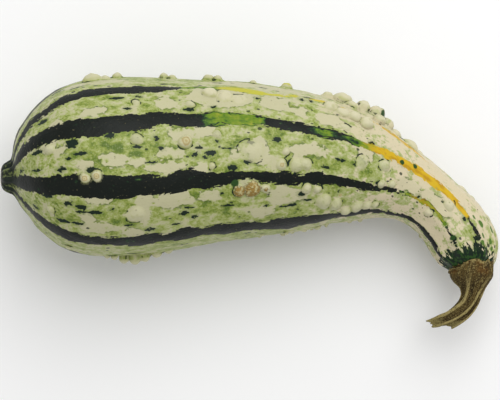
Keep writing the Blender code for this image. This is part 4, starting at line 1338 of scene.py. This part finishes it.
stem.data.materials.append(dead_wood())
print("stem nodes:", len(stem.data.materials[0].node_tree.nodes))

# %% [markdown]
# ## Floor, light and camera
# The gourd lies on a plain pale floor. The camera looks straight down on it through a long lens. A wide
# soft light stands behind the far side, towards +Y, so the upper edge of the picture is the brighter one
# and the underside of the belly falls into soft shade, and a pale sky fills the rest.

# %% The floor
FLOOR_SIZE, FLOOR_WHITE = 6.0, 0.95
floor_mesh = bpy.data.meshes.new("floor")
half = FLOOR_SIZE / 2.0
floor_corners = [(-half, -half, 0.0), (half, -half, 0.0), (half, half, 0.0), (-half, half, 0.0)]
floor_mesh.from_pydata(floor_corners, [], [(0, 1, 2, 3)])
floor = in_scene("floor", floor_mesh)
floor_paint = Paint("floor")
floor_paint.feed(Base_Color=(*[FLOOR_WHITE] * 3, 1.0), Roughness=0.9, Specular_IOR_Level=0.1)
floor_mesh.materials.append(floor_paint.material)
floor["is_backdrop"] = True
print("the floor is", FLOOR_SIZE, "m wide")

# %% The lights
SKY_STRENGTH = 0.56
KEY_PLACE, KEY_SIZE, KEY_POWER = (0.3, 0.75, 1.25), 1.4, 15.7
LIT_PLACE = (0.0, 0.0, 0.03)  # the middle of the gourd
world = bpy.data.worlds.new("sky")
bpy.context.scene.world = world
world.use_nodes = True
sky = world.node_tree.nodes["Background"]
sky.inputs["Color"].default_value = (1.0, 1.0, 1.0, 1.0)
sky.inputs["Strength"].default_value = SKY_STRENGTH
lamp = bpy.data.lights.new("key", "AREA")
lamp.energy, lamp.size = KEY_POWER, KEY_SIZE
key = in_scene("key", lamp)
key.location = KEY_PLACE
key.rotation_euler = (Vector(LIT_PLACE) - Vector(KEY_PLACE)).to_track_quat("-Z", "Y").to_euler()
print("the light is", round((Vector(KEY_PLACE) - Vector(LIT_PLACE)).length, 2), "m away")

# %% The camera
CAMERA_DISTANCE, WIDTH_SEEN, MIDDLE_HEIGHT = 1.1, 0.225, 0.035  # metres
VIEW_MIDDLE = (-0.0005, 0.0004)
SENSOR_WIDTH = 36.0
lens = bpy.data.cameras.new("camera")
lens.sensor_width = SENSOR_WIDTH
lens.lens = SENSOR_WIDTH * CAMERA_DISTANCE / WIDTH_SEEN
camera = in_scene("camera", lens)
camera.location = (*VIEW_MIDDLE, MIDDLE_HEIGHT + CAMERA_DISTANCE)
bpy.context.scene.camera = camera
bpy.context.scene.view_settings.view_transform = "Standard"
print("the lens is", round(lens.lens), "mm long")

# %% [markdown]
# ## The size
# The finished pieces have to stay inside the box of the plain solids, so both boxes are kept side by
# side.

# %% Keep both boxes and finish
bpy.context.view_layer.update()
look_box = [list(corner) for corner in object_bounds()]
print("look box in mm:", [[round(v / MM, 1) for v in corner] for corner in look_box])
